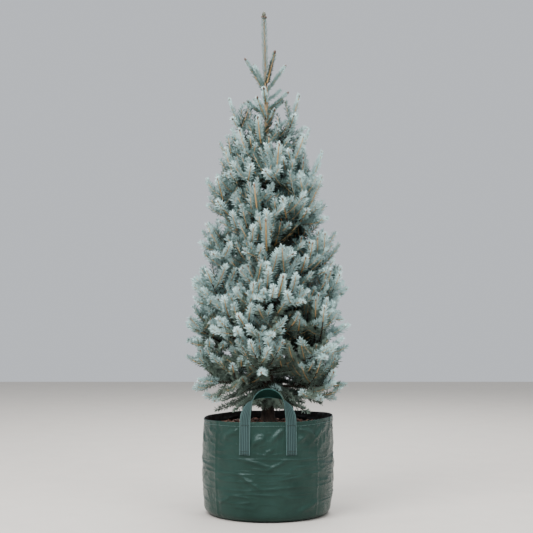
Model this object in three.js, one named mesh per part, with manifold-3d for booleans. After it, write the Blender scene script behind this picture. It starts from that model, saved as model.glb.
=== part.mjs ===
// A potted blue spruce: a young conifer with tiers of limbs round one straight stem, in a round woven planter
// bag with two webbing handles. Units are millimetres, +Z is up and +X is to the right when it is seen from
// the front, which faces -Y. The origin is the centre of the bag's flat underside.

import * as THREE from "three";
import { mergeVertices } from "three/addons/utils/BufferGeometryUtils.js";
import Module from "manifold-3d";

const wasm = await Module();
wasm.setup();

// Driving dimensions

const GAP = 0.3; // what touching pieces keep between them

const BAG = {
  height: 400,
  rimRadius: 266,
  footRadius: 262, // where the wall would meet the ground if the corner were sharp
  bulge: 8, // how far the filled wall swells out half-way up
  corner: 32, // the round corner where the wall turns into the floor
  cornerSteps: 2,
  wallHeights: [32, 150, 260, 350, 400], // where the wall's outline has a point, from the corner to the rim
  wall: 3,
  sides: 32,
};

const SOIL = { middleHeight: 366, edgeHeight: 350, flatRadius: 70, shoulderRadius: 190 };

const HANDLE = {
  width: 45,
  thickness: 3,
  legAngle: 20, // degrees from the handle's middle to each leg, round the bag
  footHeight: 270, // lower end of the sewn part
  crest: 116, // the loop's middle line, above the rim
  lean: 9, // how far the crest leans out
  legTilt: -20, // degrees that the strap's width is turned out of the loop's plane, at the legs
  crestTilt: -146, // and at the crest, where its inner face shows
  legSteps: 3,
  loopSteps: 24,
};

const STEM = {
  tipHeight: 2104,
  leaderFoot: 1786, // the top tier's height, above which is this year's leader
  footRadius: 25,
  neckRadius: 8, // just under the leader
  leaderRadius: 5,
  tipRadius: 3.2,
  flare: 13,
  flareHeight: 34,
  bareTaper: 1.8, // how much faster the stem thins near its foot
  lean: -17, // sideways, from the foot to the tip
  bow: 9,
  bud: { radius: 6.5, length: 24 },
  sides: 10,
};

// The tiers of limbs, from the top down: the height at which the limbs leave the stem, how many there are and
// the bearing of the first, how far out and up each one's tip lies, how strongly it curves up (0 is
// straight), the number of side shoots, and half the width and height of each mass's dense core.
const TIERS = [
  { height: 1778, limbs: 4, bearing: 25, reach: 92, rise: 122, bend: 0.1, shoots: 0, core: [0, 0] },
  { height: 1668, limbs: 4, bearing: 70, reach: 96, rise: 66, bend: 0.2, shoots: 0, core: [0, 0] },
  { height: 1455, limbs: 5, bearing: 36, reach: 165, rise: 236, bend: 0.9, shoots: 4, core: [44, 42] },
  { height: 1272, limbs: 5, bearing: 0, reach: 226, rise: 246, bend: 1.2, shoots: 5, core: [66, 58] },
  { height: 1106, limbs: 5, bearing: 36, reach: 258, rise: 226, bend: 1.1, shoots: 6, core: [82, 66] },
  { height: 960, limbs: 5, bearing: -18, reach: 286, rise: 198, bend: 1, shoots: 6, core: [94, 72] },
  { height: 822, limbs: 4, bearing: 15, reach: 312, rise: 158, bend: 0.9, shoots: 7, core: [116, 84] },
  { height: 690, limbs: 4, bearing: -15, reach: 335, rise: 104, bend: 0.8, shoots: 7, core: [120, 84] },
  { height: 562, limbs: 5, bearing: -18, reach: 306, rise: 14, bend: 0.6, shoots: 6, core: [100, 72] },
];

const LIMB = {
  turnJitter: 7, // degrees
  heightSpread: 70, // within a tier, from its lowest limb to its highest
  heightJitter: 9,
  sizeJitter: 0.08,
  rootRadius: 2, // plus a share of the limb's reach
  radiusPerReach: 0.011,
  tipShare: 0.45, // of the root's radius, where the last needles grow
  bareShare: 0.16, // of a limb with no bough of its own
  boughFrom: 300, // a limb that reaches further than this has a bare bough of its own
  boughShare: 0.16, // how much of the limb that bough is
  sides: 6,
};

// The dense core of a mass, which its shoots stand out of.
const CORE = {
  from: 0.13, // where it starts and ends along a limb that has no bough of its own
  to: 0.76,
  sides: 8, // every other side stands out, in turn from ring to ring
  rings: 4,
  hollow: 0.7, // how far out the sides between them lie
  blunt: 0.5, // how round its two ends are (1 is pointed)
  smaller: [1, 0.88, 0.76, 0.64, 0.52, 0.4], // what is tried when it would touch another mass
};

const SHOOT = {
  first: 0.2, // the stretch of the limb that side shoots grow from
  last: 0.68,
  free: 120, // how far a shoot stands out of the core, near the stem
  shortening: 0.4, // of that, at the limb's tip
  angle: 66, // degrees from the limb
  closing: 26, // degrees that the angle closes by towards the tip
  rolls: [24, -34, 62, -8], // degrees above or below the limb's own spread, in turn for each pair
  lift: 0.12, // of its length, by which the tip turns up
  jitter: 0.16,
  sunk: 0.7, // where the needles start, as a share of the core's half-width
  rooted: 0.35, // where its root starts, as a share of that
  shorter: [1, 0.8, 0.62], // what is tried when the shoot would touch another limb
};

const NEEDLES = {
  reach: 14.5, // the radius of a shoot's brush of needles, plus a share of the limb's reach
  reachPerLimb: 0.036,
  sides: 4, // every other side stands out as a tooth, in turn from row to row
  rowEvery: 31,
  core: 0.34, // the slim core, as a share of the brush's radius
  forward: 0.5, // how far a tooth leans forward, in brush radii
  endRound: 0.2, // the share of the brush at each end over which it narrows
  apart: 1.2, // clearance between the needles of two masses
};

const UP = new THREE.Vector3(0, 0, 1);
const radians = THREE.MathUtils.degToRad;
const lerp = THREE.MathUtils.lerp;

// Helpers: repeatable chance, closed skins and booleans

// A number from 0 to 1 that is always the same for the same tier, limb and use.
function chance(tier, limb, use) {
  const wave = Math.sin(tier * 12.9898 + limb * 78.233 + use * 37.719) * 43758.5453;
  return wave - Math.floor(wave);
}

// The same, from -1 to 1.
function swing(tier, limb, use) {
  return 2 * chance(tier, limb, use) - 1;
}

// A direction's sideways and upward neighbours, for laying a ring of points round it.
function frameOf(tangent) {
  const side = new THREE.Vector3().crossVectors(tangent, UP);
  if (side.lengthSq() < 1e-6) side.set(0, -1, 0);
  side.normalize();
  return { side, up: new THREE.Vector3().crossVectors(side, tangent) };
}

// A ring of points round a place. radiusAt and shiftAt give each point's distance out and its shift along the
// tangent, and flat is the ring's height as a share of its width.
function ringRound(place, tangent, sides, radiusAt, shiftAt = () => 0, flat = 1) {
  const { side, up } = frameOf(tangent);
  return Array.from({ length: sides }, (_, j) => {
    const angle = (2 * Math.PI * (j + 0.5)) / sides;
    return place
      .clone()
      .addScaledVector(up, radiusAt(j) * Math.cos(angle) * flat)
      .addScaledVector(side, radiusAt(j) * Math.sin(angle))
      .addScaledVector(tangent, shiftAt(j));
  });
}

function middleOf(ring) {
  return ring.reduce((sum, p) => sum.add(p), new THREE.Vector3()).divideScalar(ring.length);
}

// One closed skin over a row of rings, with a fan of triangles at each end. A given tip makes it pointed.
function skin(rings, endTip = middleOf(rings.at(-1)), startTip = middleOf(rings[0])) {
  const count = rings[0].length;
  const points = [...rings.flat(), startTip, endTip];
  const [startPole, endPole] = [points.length - 2, points.length - 1];
  const lastRing = (rings.length - 1) * count;
  const faces = [];
  for (let j = 0; j < count; j++) {
    const next = (j + 1) % count;
    faces.push(startPole, next, j, endPole, lastRing + j, lastRing + next);
    for (let ring = 0; ring < lastRing; ring += count) {
      const [a, b] = [ring + j, ring + next];
      faces.push(a, b, b + count, a, b + count, a + count);
    }
  }
  return new THREE.BufferGeometry().setFromPoints(points).setIndex(faces);
}

// A closed geometry as a solid that can be joined and cut.
function solidOf(geometry) {
  const bare = geometry.clone();
  bare.deleteAttribute("normal");
  bare.deleteAttribute("uv");
  const merged = mergeVertices(bare, 1e-3);
  return new wasm.Manifold(
    new wasm.Mesh({
      numProp: 3,
      vertProperties: new Float32Array(merged.attributes.position.array),
      triVerts: new Uint32Array(merged.index.array),
    }),
  );
}

function geometryOf(solid) {
  const mesh = solid.getMesh();
  const geometry = new THREE.BufferGeometry();
  geometry.setAttribute("position", new THREE.BufferAttribute(mesh.vertProperties, 3));
  geometry.setIndex(new THREE.BufferAttribute(mesh.triVerts, 1));
  geometry.computeVertexNormals();
  return geometry;
}

const overlap = (a, b) => a.intersect(b).volume() > 0;

// Solids fused into one. Only the largest body is kept, so a sealed hollow is filled and a scrap is dropped.
function fused(solids) {
  const bodies = wasm.Manifold.union(solids).decompose();
  return bodies.reduce((largest, body) => (body.volume() > largest.volume() ? body : largest));
}

// A profile of [radius, height] points, turned round the Z axis.
function turned(profile, sides) {
  const points = profile.map(([radius, height]) => new THREE.Vector2(radius, height));
  return new THREE.LatheGeometry(points, sides).rotateX(Math.PI / 2);
}

// The planter bag and its fill

// The bag's outer radius at a height: a straight taper, a swelling at mid-height and a round lower corner.
function bagRadius(height) {
  const share = height / BAG.height;
  const wall = lerp(BAG.footRadius, BAG.rimRadius, share) + BAG.bulge * Math.sin(Math.PI * share);
  const below = Math.max(0, 1 - height / BAG.corner);
  return wall - BAG.corner * (1 - Math.sqrt(1 - below * below));
}

// The heights of the outline's points, round the corner and up the wall as far as a level.
function bagHeights(top) {
  const round = Array.from({ length: BAG.cornerSteps }, (_, i) =>
    BAG.corner * (1 - Math.cos((Math.PI / 2) * (i / BAG.cornerSteps))),
  );
  return [...round, ...BAG.wallHeights.filter((z) => z <= top)];
}

// A shell that is open at the top and flat underneath.
function makeBag() {
  const outside = bagHeights(BAG.height).map((z) => [bagRadius(z), z]);
  const inside = outside.map(([radius, z]) => [radius - BAG.wall, Math.max(z, BAG.wall)]);
  return turned([[0, 0], ...outside, ...inside.reverse(), [0, BAG.wall]], BAG.sides);
}

// The potting mix: it fills the bag to a low mound with a flat middle, on which the stem stands.
function makeSoil() {
  const clear = BAG.wall + GAP;
  const wall = bagHeights(SOIL.edgeHeight).map((z) => [bagRadius(z) - clear, Math.max(z, clear)]);
  const mound = [
    [SOIL.shoulderRadius, (SOIL.middleHeight + SOIL.edgeHeight) / 2],
    [SOIL.flatRadius, SOIL.middleHeight],
    [0, SOIL.middleHeight],
  ];
  return turned([[0, clear], ...wall, ...mound], BAG.sides);
}

// The middle line of one handle, from one sewn end over the loop to the other: each place with its tangent,
// and how far round the loop it lies (half a turn at the left leg, 0 at the right one).
function handleLine() {
  const leg = radians(HANDLE.legAngle);
  const seat = GAP + HANDLE.thickness / 2;
  const half = (bagRadius(BAG.height) + seat) * Math.sin(leg);
  const legs = Array.from({ length: HANDLE.legSteps }, (_, i) => {
    const z = lerp(HANDLE.footHeight, BAG.height, i / HANDLE.legSteps);
    const radius = bagRadius(z) + seat;
    return new THREE.Vector3(-radius * Math.sin(leg), -radius * Math.cos(leg), z);
  });
  const leftPlaces = legs.map((place) => ({ place, tangent: UP.clone(), turn: Math.PI }));
  const loopPlaces = Array.from({ length: HANDLE.loopSteps + 1 }, (_, i) => {
    const turn = Math.PI * (1 - i / HANDLE.loopSteps);
    const out = (bagRadius(BAG.height) + seat) * Math.cos(leg) + HANDLE.lean * Math.sin(turn);
    return {
      place: new THREE.Vector3(half * Math.cos(turn), -out, BAG.height + HANDLE.crest * Math.sin(turn)),
      tangent: new THREE.Vector3(half * Math.sin(turn), 0, -HANDLE.crest * Math.cos(turn)).normalize(),
      turn,
    };
  });
  const rightPlaces = [...legs].reverse().map((place) => ({
    place: place.clone().setX(-place.x),
    tangent: UP.clone().negate(),
    turn: 0,
  }));
  return [...leftPlaces, ...loopPlaces, ...rightPlaces];
}

// A flat strap along that line. Its width lies along the bag at the legs and turns edge-up over the loop.
function makeHandle() {
  const rings = handleLine().map(({ place, tangent, turn }) => {
    const tilt = radians(lerp(HANDLE.legTilt, HANDLE.crestTilt, Math.sin(turn) ** 2));
    const inward = new THREE.Vector3(tangent.z, 0, -tangent.x);
    const width = inward.multiplyScalar(Math.cos(tilt)).add(new THREE.Vector3(0, Math.sin(tilt), 0));
    const normal = new THREE.Vector3().crossVectors(width, tangent).normalize();
    return [[1, 1], [-1, 1], [-1, -1], [1, -1]].map(([front, inner]) =>
      place
        .clone()
        .addScaledVector(normal, (front * HANDLE.thickness) / 2)
        .addScaledVector(width, (inner * HANDLE.width) / 2),
    );
  });
  return skin(rings);
}

// The stem

const stemFoot = SOIL.middleHeight + GAP;

// The stem's middle line: a slight lean to one side, with a slow bow.
function stemPlace(height) {
  const share = (height - stemFoot) / (STEM.tipHeight - stemFoot);
  return new THREE.Vector3(STEM.lean * share + STEM.bow * Math.sin(Math.PI * share), 0, height);
}

// Its radius: a flared foot, older wood that thins upwards, and the slim leader.
function stemRadius(height) {
  if (height >= STEM.leaderFoot) {
    const share = (height - STEM.leaderFoot) / (STEM.tipHeight - STEM.leaderFoot);
    return lerp(STEM.leaderRadius, STEM.tipRadius, share);
  }
  const left = (STEM.leaderFoot - height) / (STEM.leaderFoot - stemFoot);
  const flare = STEM.flare * Math.exp(-(height - stemFoot) / STEM.flareHeight);
  return lerp(STEM.neckRadius, STEM.footRadius, left ** STEM.bareTaper) + flare;
}

// The whole stem with its terminal bud. grown makes it fatter, to cut what has to stay clear of it.
function makeStem(grown = 0) {
  const budFoot = STEM.tipHeight - STEM.bud.length;
  const heights = [0, 14, 32, 60, 110, 220, 360, 520, 700, 880, 1060, 1230, 1360].map((z) => stemFoot + z);
  heights.push(STEM.leaderFoot - 1, STEM.leaderFoot + 14, STEM.leaderFoot + 150, budFoot);
  const sections = heights.map((z) => [z, stemRadius(z)]);
  sections.push([budFoot + STEM.bud.length * 0.35, STEM.bud.radius]);
  sections.push([budFoot + STEM.bud.length * 0.75, STEM.bud.radius * 0.6]);
  const rings = sections.map(([z, radius]) => ringRound(stemPlace(z), UP, STEM.sides, () => radius + grown));
  return skin(rings, stemPlace(STEM.tipHeight));
}

// Limbs, shoots and needles

// A shoot's skin along a curve: plain round rings, given as [place, radius] with places from 0 to 1, or else
// a pointed root. Then, from the place bare on, rows of forward-leaning teeth out of a slim core, which stand
// for its needles, and a pointed tip.
function brushedShoot(curve, plain, bare, brush) {
  const bareRadius = plain.at(-1)?.[1] ?? 0;
  const rows = Math.max(3, Math.round(((1 - bare) * curve.getLength()) / NEEDLES.rowEvery));
  const smooth = plain.map(([t, radius]) =>
    ringRound(curve.getPoint(t), curve.getTangent(t), NEEDLES.sides, () => radius),
  );
  const toothed = Array.from({ length: rows }, (_, row) => {
    const share = (row + 0.5) / rows;
    const t = lerp(bare, 1, share);
    const ends = Math.min(1, share / NEEDLES.endRound, (1 - share) / NEEDLES.endRound);
    const out = brush * Math.sqrt(ends) * (0.88 + 0.12 * Math.sin(row * 2.4));
    const core = Math.max(brush * NEEDLES.core * Math.sqrt(ends), bareRadius);
    const isTooth = (j) => (row + j) % 2 === 0;
    return ringRound(
      curve.getPoint(t),
      curve.getTangent(t),
      NEEDLES.sides,
      (j) => (isTooth(j) ? out : core),
      (j) => (isTooth(j) ? brush * NEEDLES.forward * 0.5 : -brush * NEEDLES.forward * 0.5),
    );
  });
  const root = plain.length ? undefined : curve.getPoint(bare * SHOOT.rooted);
  return skin([...smooth, ...toothed], curve.getPoint(1), root);
}

// Where a limb runs: out and up from the stem's middle line, on a curve that bends towards the sky.
function limbCurve(tier, t, limb) {
  const bearing = radians(tier.bearing + (360 * limb) / tier.limbs + LIMB.turnJitter * swing(t, limb, 1));
  const size = 1 + LIMB.sizeJitter * swing(t, limb, 2);
  const step = ((limb * 2) % tier.limbs) / (tier.limbs - 1) - 0.5;
  const spread = LIMB.heightSpread * Math.min(1, tier.reach / 200);
  const root = stemPlace(tier.height + spread * step + LIMB.heightJitter * swing(t, limb, 3));
  const rise = tier.rise * (1 + 3 * LIMB.sizeJitter * swing(t, limb, 4));
  const outward = new THREE.Vector3(Math.cos(bearing), Math.sin(bearing), 0);
  const along = (out, up) =>
    root
      .clone()
      .addScaledVector(outward, out * tier.reach * size)
      .addScaledVector(UP, up * rise);
  const bend = along(0.5 + 0.2 * tier.bend, 0.5 - 0.25 * tier.bend);
  return new THREE.QuadraticBezierCurve3(root, bend, along(1, 1));
}

// Where the core starts along a limb, and the share of its full size that is there at a place.
const coreStart = (tier) => (boughShare(tier) ? boughShare(tier) + 0.03 : CORE.from);

function coreShare(tier, place) {
  const share = (place - coreStart(tier)) / (CORE.to - coreStart(tier));
  return share <= 0 || share >= 1 ? 0 : Math.sin(Math.PI * share ** 0.8) ** CORE.blunt;
}

// The core's skin: rings along the limb whose sides stand out and in by turns, with pointed ends.
function coreSkin(curve, tier, t, index, size, grown = 0) {
  const from = coreStart(tier);
  const [wide, high] = tier.core;
  const rings = Array.from({ length: CORE.rings }, (_, i) => {
    const place = lerp(from, CORE.to, (i + 0.6) / (CORE.rings + 0.2));
    const radius = wide * size * coreShare(tier, place) * (1 + 0.1 * swing(t, index, 60 + i));
    const isOut = (j) => (i + j) % 2 === 0;
    return ringRound(
      curve.getPoint(place),
      curve.getTangent(place),
      CORE.sides,
      (j) => (isOut(j) ? radius : radius * CORE.hollow) + grown,
      (j) => (isOut(j) ? 0.12 * radius : -0.12 * radius),
      high / wide,
    );
  });
  return skin(rings, curve.getPoint(CORE.to), curve.getPoint(from));
}

// Where side shoot k of a limb runs: off to one side by turns, above or below the limb's spread, with its tip
// turned up. scale shortens it. sunk is the share of it that lies in the core.
function sideCurve(limb, k, scale) {
  const { tier, t, index } = limb;
  const place = lerp(SHOOT.first, SHOOT.last, (k + 0.5) / tier.shoots);
  const tangent = limb.curve.getTangent(place);
  const { side, up } = frameOf(tangent);
  const use = 10 + k * 5;
  const angle = radians(SHOOT.angle - SHOOT.closing * place + 8 * swing(t, index, use));
  const roll = radians(SHOOT.rolls[(Math.floor(k / 2) + index) % 4] + 12 * swing(t, index, use + 1));
  const hand = k % 2 ? 1 : -1;
  const direction = tangent
    .clone()
    .multiplyScalar(Math.cos(angle))
    .addScaledVector(side, hand * Math.sin(angle) * Math.cos(roll))
    .addScaledVector(up, Math.sin(angle) * Math.sin(roll));
  const free = SHOOT.free * Math.min(1, tier.reach / 260) * (1 - SHOOT.shortening * place);
  const length = tier.core[0] * coreShare(tier, place) * limb.size * 0.8
    + scale * free * (1 + SHOOT.jitter * swing(t, index, use + 2));
  const root = limb.curve.getPoint(place);
  const bend = root.clone().addScaledVector(direction, length * 0.5);
  const tip = root.clone().addScaledVector(direction, length).addScaledVector(UP, length * SHOOT.lift);
  const curve = new THREE.QuadraticBezierCurve3(root, bend, tip);
  curve.sunk = Math.min(0.6, (SHOOT.sunk * tier.core[0] * limb.size * coreShare(tier, place)) / length);
  return curve;
}

// A limb's radius at its root, the share of it that is a bare bough, and the radius of its shoots' needles.
const limbRadius = (tier) => LIMB.rootRadius + LIMB.radiusPerReach * tier.reach;
const boughShare = (tier) => (tier.reach > LIMB.boughFrom ? LIMB.boughShare : 0);
const brushOf = (tier) => NEEDLES.reach + NEEDLES.reachPerLimb * tier.reach;

// A bare bough: one tapering limb from the stem to where it enters its foliage.
function makeBough(curve, tier, stemCutter) {
  const steps = 3;
  const rings = Array.from({ length: steps + 1 }, (_, i) => {
    const t = (boughShare(tier) * i) / steps;
    const radius = limbRadius(tier) * lerp(1, LIMB.tipShare, t);
    return ringRound(curve.getPoint(t), curve.getTangent(t), LIMB.sides, () => radius);
  });
  return solidOf(skin(rings)).subtract(stemCutter);
}

// The middle shoot of a mass. It grows on from its bough's tip, or from the stem if the limb has no bough of
// its own, and its needles start inside the core.
function makeMiddleShoot(curve, tier, stemCutter) {
  const from = boughShare(tier) ? boughShare(tier) + GAP / curve.getLength() : 0;
  const places = [from, from + LIMB.bareShare];
  const plain = places.map((t) => [t, limbRadius(tier) * lerp(1, LIMB.tipShare, t)]);
  const bare = tier.core[0] ? CORE.to - 0.12 : places[1];
  return solidOf(brushedShoot(curve, plain, bare, brushOf(tier))).subtract(stemCutter);
}

function makeSideShoot(curve, brush) {
  return solidOf(brushedShoot(curve, [], curve.sunk, brush));
}

// The leader's own needles: a sleeve of teeth that lie close to the stem, open at both ends.
function makeLeaderNeedles(stemCutter) {
  const [low, high] = [STEM.leaderFoot + 26, STEM.tipHeight - STEM.bud.length - 46];
  const rows = 9;
  const rings = Array.from({ length: rows }, (_, row) => {
    const z = lerp(low, high, row / (rows - 1));
    const end = row === 0 || row === rows - 1;
    const out = stemRadius(z) + (end ? 2 : lerp(7.5, 5, row / rows));
    const isTooth = (j) => !end && (row + j) % 2 === 0;
    return ringRound(
      stemPlace(z),
      UP,
      NEEDLES.sides,
      (j) => (isTooth(j) ? out : stemRadius(z) + 2.4),
      (j) => (isTooth(j) ? 9 : 0),
    );
  });
  return solidOf(skin(rings)).subtract(stemCutter);
}

// Building the object

const FINISH = {
  bag: new THREE.MeshStandardMaterial({ color: 0x2c5a4c, roughness: 0.42, metalness: 0 }),
  webbing: new THREE.MeshStandardMaterial({ color: 0x3f6b62, roughness: 0.7, metalness: 0 }),
  soil: new THREE.MeshStandardMaterial({ color: 0x4a3226, roughness: 0.95, metalness: 0 }),
  bark: new THREE.MeshStandardMaterial({ color: 0x7a5f45, roughness: 0.9, metalness: 0 }),
  needles: new THREE.MeshStandardMaterial({ color: 0x8fb0ae, roughness: 0.75, metalness: 0 }),
};

const spruce = new THREE.Group();

function add(name, geometry, material) {
  const mesh = new THREE.Mesh(geometry, material);
  mesh.name = name;
  spruce.add(mesh);
  return mesh;
}

add("planter_bag", makeBag(), FINISH.bag);
add("potting_mix", makeSoil(), FINISH.soil);
const frontHandle = add("handle_front", makeHandle(), FINISH.webbing);
const backHandle = add("handle_back", makeHandle(), FINISH.webbing);
backHandle.rotation.z = Math.PI;
backHandle.updateMatrix();
add("stem", makeStem(), FINISH.bark);

const stemCutter = solidOf(makeStem(GAP));
add("leader_needles", geometryOf(makeLeaderNeedles(stemCutter)), FINISH.needles);

// The space that a hand needs in and round each handle, and the bag with its fill, stay free of foliage.
function handSpace(front) {
  const [wide, deep, high] = [250, 76, 165];
  const box = new THREE.BoxGeometry(wide, deep, high);
  const middle = bagRadius(BAG.height) * Math.cos(radians(HANDLE.legAngle));
  return solidOf(box.translate(0, front * (middle + 4), BAG.height + high / 2 - 20));
}
const rimSpace = wasm.Manifold.cylinder(BAG.height + 6, BAG.rimRadius + 14, BAG.rimRadius + 14, 24);
const keptClear = [handSpace(-1), handSpace(1), rimSpace, stemCutter];

// Every limb's curve and middle shoot come first, then the cores, so that side shoots fill only what is left.
const limbs = TIERS.flatMap((tier, t) =>
  Array.from({ length: tier.limbs }, (_, index) => {
    const curve = limbCurve(tier, t, index);
    return {
      tier,
      t,
      index,
      name: `tier_${t + 1}_${index + 1}`,
      curve,
      size: 1,
      bough: boughShare(tier) ? makeBough(curve, tier, stemCutter) : null,
      mass: [makeMiddleShoot(curve, tier, stemCutter)],
    };
  }),
);

// True if a solid of this limb, grown a little too fat, is clear of every other limb and of the kept space.
function isClear(fat, limb) {
  const others = limbs.filter((other) => other !== limb);
  const solids = others.flatMap(({ mass, bough }) => (bough ? [bough, ...mass] : mass));
  return ![...keptClear, ...solids].some((other) => overlap(fat, other));
}

for (const limb of limbs.filter(({ tier }) => tier.core[0])) {
  const { curve, tier, t, index } = limb;
  const fits = (size) => isClear(solidOf(coreSkin(curve, tier, t, index, size, NEEDLES.apart)), limb);
  limb.size = CORE.smaller.find(fits) ?? 0;
  if (limb.size) limb.mass.push(solidOf(coreSkin(curve, tier, t, index, limb.size)));
}

const mostShoots = Math.max(...TIERS.map((tier) => tier.shoots));
for (let k = 0; k < mostShoots; k++)
  for (const limb of limbs) {
    if (k >= limb.tier.shoots) continue;
    const curve = SHOOT.shorter
      .map((scale) => sideCurve(limb, k, scale))
      .find((tried) => isClear(makeSideShoot(tried, brushOf(limb.tier) + NEEDLES.apart), limb));
    if (curve) limb.mass.push(makeSideShoot(curve, brushOf(limb.tier)));
  }

for (const limb of limbs) {
  if (limb.bough) add(`bough_${limb.name}`, geometryOf(limb.bough), FINISH.bark);
  add(`foliage_${limb.name}`, geometryOf(fused(limb.mass)), FINISH.needles);
}

export default spruce;
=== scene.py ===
# %% [markdown]
# # A potted blue spruce
# A young conifer in a woven planter bag. The solid model is loaded first and stays where it is, as a frame.
# Everything that shows is then worked out with numpy in the same frame: metres, +Z up, the bag's front at
# -Y. The crown is grown by the same repeatable rule as the solids, only carried on to finer twigs and to
# needles.

import bpy
import numpy as np
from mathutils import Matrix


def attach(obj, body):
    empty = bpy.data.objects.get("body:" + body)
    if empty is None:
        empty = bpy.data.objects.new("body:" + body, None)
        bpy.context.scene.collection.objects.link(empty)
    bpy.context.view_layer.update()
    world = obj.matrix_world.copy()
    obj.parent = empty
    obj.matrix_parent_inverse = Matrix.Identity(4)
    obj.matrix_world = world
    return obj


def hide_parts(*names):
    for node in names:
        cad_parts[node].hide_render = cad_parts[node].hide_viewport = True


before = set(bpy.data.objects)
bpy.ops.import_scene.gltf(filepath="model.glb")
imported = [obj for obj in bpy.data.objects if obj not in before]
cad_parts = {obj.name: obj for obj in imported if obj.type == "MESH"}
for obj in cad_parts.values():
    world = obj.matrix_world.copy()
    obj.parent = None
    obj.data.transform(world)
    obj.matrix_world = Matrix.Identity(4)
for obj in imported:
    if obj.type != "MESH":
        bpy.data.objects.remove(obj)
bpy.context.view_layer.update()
NODES = sorted(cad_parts)
UP = np.array([0.0, 0.0, 1.0])

# %% [markdown]
# ## Camera and light
# The camera stands five metres in front, at chest height, and looks up by a degree or two. Its focal length
# comes from the view: 1200 pixels on an image that is 533 pixels wide. The light is that of an overcast
# day. A picture of a sky could give it, but such a sky has hardly any shapes of its own. A pale world and a
# wide soft lamp overhead do the same without one. A lamp above the left shoulder gives the glints on the
# bag their direction. A weaker one on the right fills the shade, and one behind lights the crown's edge.

# %% Camera
CAMERA = {"place": (-0.006, -5.04, 0.886), "pitch": 1.6, "focal_pixels": 1200, "image_pixels": 533}

lens = bpy.data.cameras.new("camera")
lens.sensor_width = 36.0
lens.lens = lens.sensor_width * CAMERA["focal_pixels"] / CAMERA["image_pixels"]
camera = bpy.data.objects.new("camera", lens)
camera.location = CAMERA["place"]
camera.rotation_euler = (np.radians(90 + CAMERA["pitch"]), 0, 0)
bpy.context.collection.objects.link(camera)
bpy.context.scene.camera = camera
print("lens:", round(lens.lens, 1), "mm")

# %% Light
LAMPS = {
    "key": {"place": (-2.6, -3.4, 4.6), "aim": (0, 0, 1.0), "size": 2.8, "power": 420},
    "fill": {"place": (2.9, -3.3, 4.2), "aim": (0, 0, 0.8), "size": 2.6, "power": 135},
    "back": {"place": (0.8, 3.8, 4.2), "aim": (0, 0, 1.2), "size": 3.0, "power": 160},
    "top": {"place": (0.0, -0.2, 5.6), "aim": (0, 0, 1.0), "size": 4.0, "power": 360},
}


def add_lamp(name, place, aim, size, power):
    """A square area lamp. Its local -Z axis is turned to point from its place to its aim."""
    light = bpy.data.lights.new(name, "AREA")
    light.size = size
    light.energy = power
    lamp = bpy.data.objects.new(name, light)
    lamp.location = place
    x, y, z = np.subtract(place, aim)
    lamp.rotation_euler = (np.arctan2(np.hypot(x, y), z), 0, np.arctan2(y, x) + np.pi / 2)
    bpy.context.collection.objects.link(lamp)


for name, spec in LAMPS.items():
    add_lamp(name, **spec)

world = bpy.data.worlds.new("overcast sky")
world.use_nodes = True
world.node_tree.nodes["Background"].inputs["Color"].default_value = (0.90, 0.94, 1.0, 1)
world.node_tree.nodes["Background"].inputs["Strength"].default_value = 0.72
bpy.context.scene.world = world
print("lamps:", len(LAMPS))

# %% [markdown]
# ## From arrays to meshes
# Blender's own cylinders could be bent into shape one by one, but a spruce has tens of thousands of small
# parts. So every surface here is a grid of points instead: one number runs along it and another one round
# it. Whole arrays go into the mesh at once. A tube is such a grid carried along a path, and many tubes can
# be worked out together.

# %% Mesh helpers


def make_piece(name, points, triangles, materials, replaced, slot, smooth=True, face_slots=None, uv=None):
    """Puts arrays into a mesh object that rides on the root body. points is (N, 3) and triangles is (M,
    3)."""
    mesh = bpy.data.meshes.new(name)
    mesh.vertices.add(len(points))
    mesh.vertices.foreach_set("co", np.ascontiguousarray(points, dtype=np.float32).ravel())
    mesh.loops.add(triangles.size)
    mesh.loops.foreach_set("vertex_index", triangles.astype(np.int32).ravel())
    mesh.polygons.add(len(triangles))
    mesh.polygons.foreach_set("loop_start", np.arange(0, triangles.size, 3, dtype=np.int32))
    mesh.polygons.foreach_set("use_smooth", np.full(len(triangles), smooth))
    for material in materials:
        mesh.materials.append(material)
    if face_slots is not None:
        mesh.polygons.foreach_set("material_index", face_slots.astype(np.int32))
    if uv is not None:
        layer = mesh.uv_layers.new(name="surface")
        layer.data.foreach_set("uv", uv[triangles.ravel()].astype(np.float32).ravel())
    mesh.update(calc_edges=True)
    piece = bpy.data.objects.new(name, mesh)
    bpy.context.collection.objects.link(piece)
    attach(piece, "root")
    if replaced:
        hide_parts(*replaced)
    print(f"{name}: {len(triangles)} triangles")


def grid_triangles(rows, columns):
    """Two triangles for each cell of a grid that closes on itself across its columns."""
    row, column = np.meshgrid(np.arange(rows - 1), np.arange(columns), indexing="ij")
    a = row * columns + column
    b = row * columns + (column + 1) % columns
    c, d = a + columns, b + columns
    return np.stack([a, b, d, a, d, c], axis=-1).reshape(-1, 3)


def capped_grid(points):
    """(R, C, 3) rings as points and triangles, with a fan to a middle point at both ends."""
    rows, columns = points.shape[:2]
    flat = np.concatenate([points.reshape(-1, 3), points[[0, -1]].mean(axis=1)])
    j = np.arange(columns)
    k = (j + 1) % columns
    last = (rows - 1) * columns
    start = np.stack([np.full(columns, rows * columns), k, j], axis=-1)
    end = np.stack([np.full(columns, rows * columns + 1), last + j, last + k], axis=-1)
    return flat, np.concatenate([grid_triangles(rows, columns), start, end])


def unit(vectors):
    return vectors / np.maximum(np.linalg.norm(vectors, axis=-1, keepdims=True), 1e-9)


def on_circle(turn, radius=1.0, height=0.0):
    """Places round the Z axis: the radius times the cosine and the sine of the turn, and the height."""
    flat = np.broadcast_arrays(radius * np.cos(turn), radius * np.sin(turn), height + 0.0 * turn)
    return np.stack(flat, axis=-1)


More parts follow.
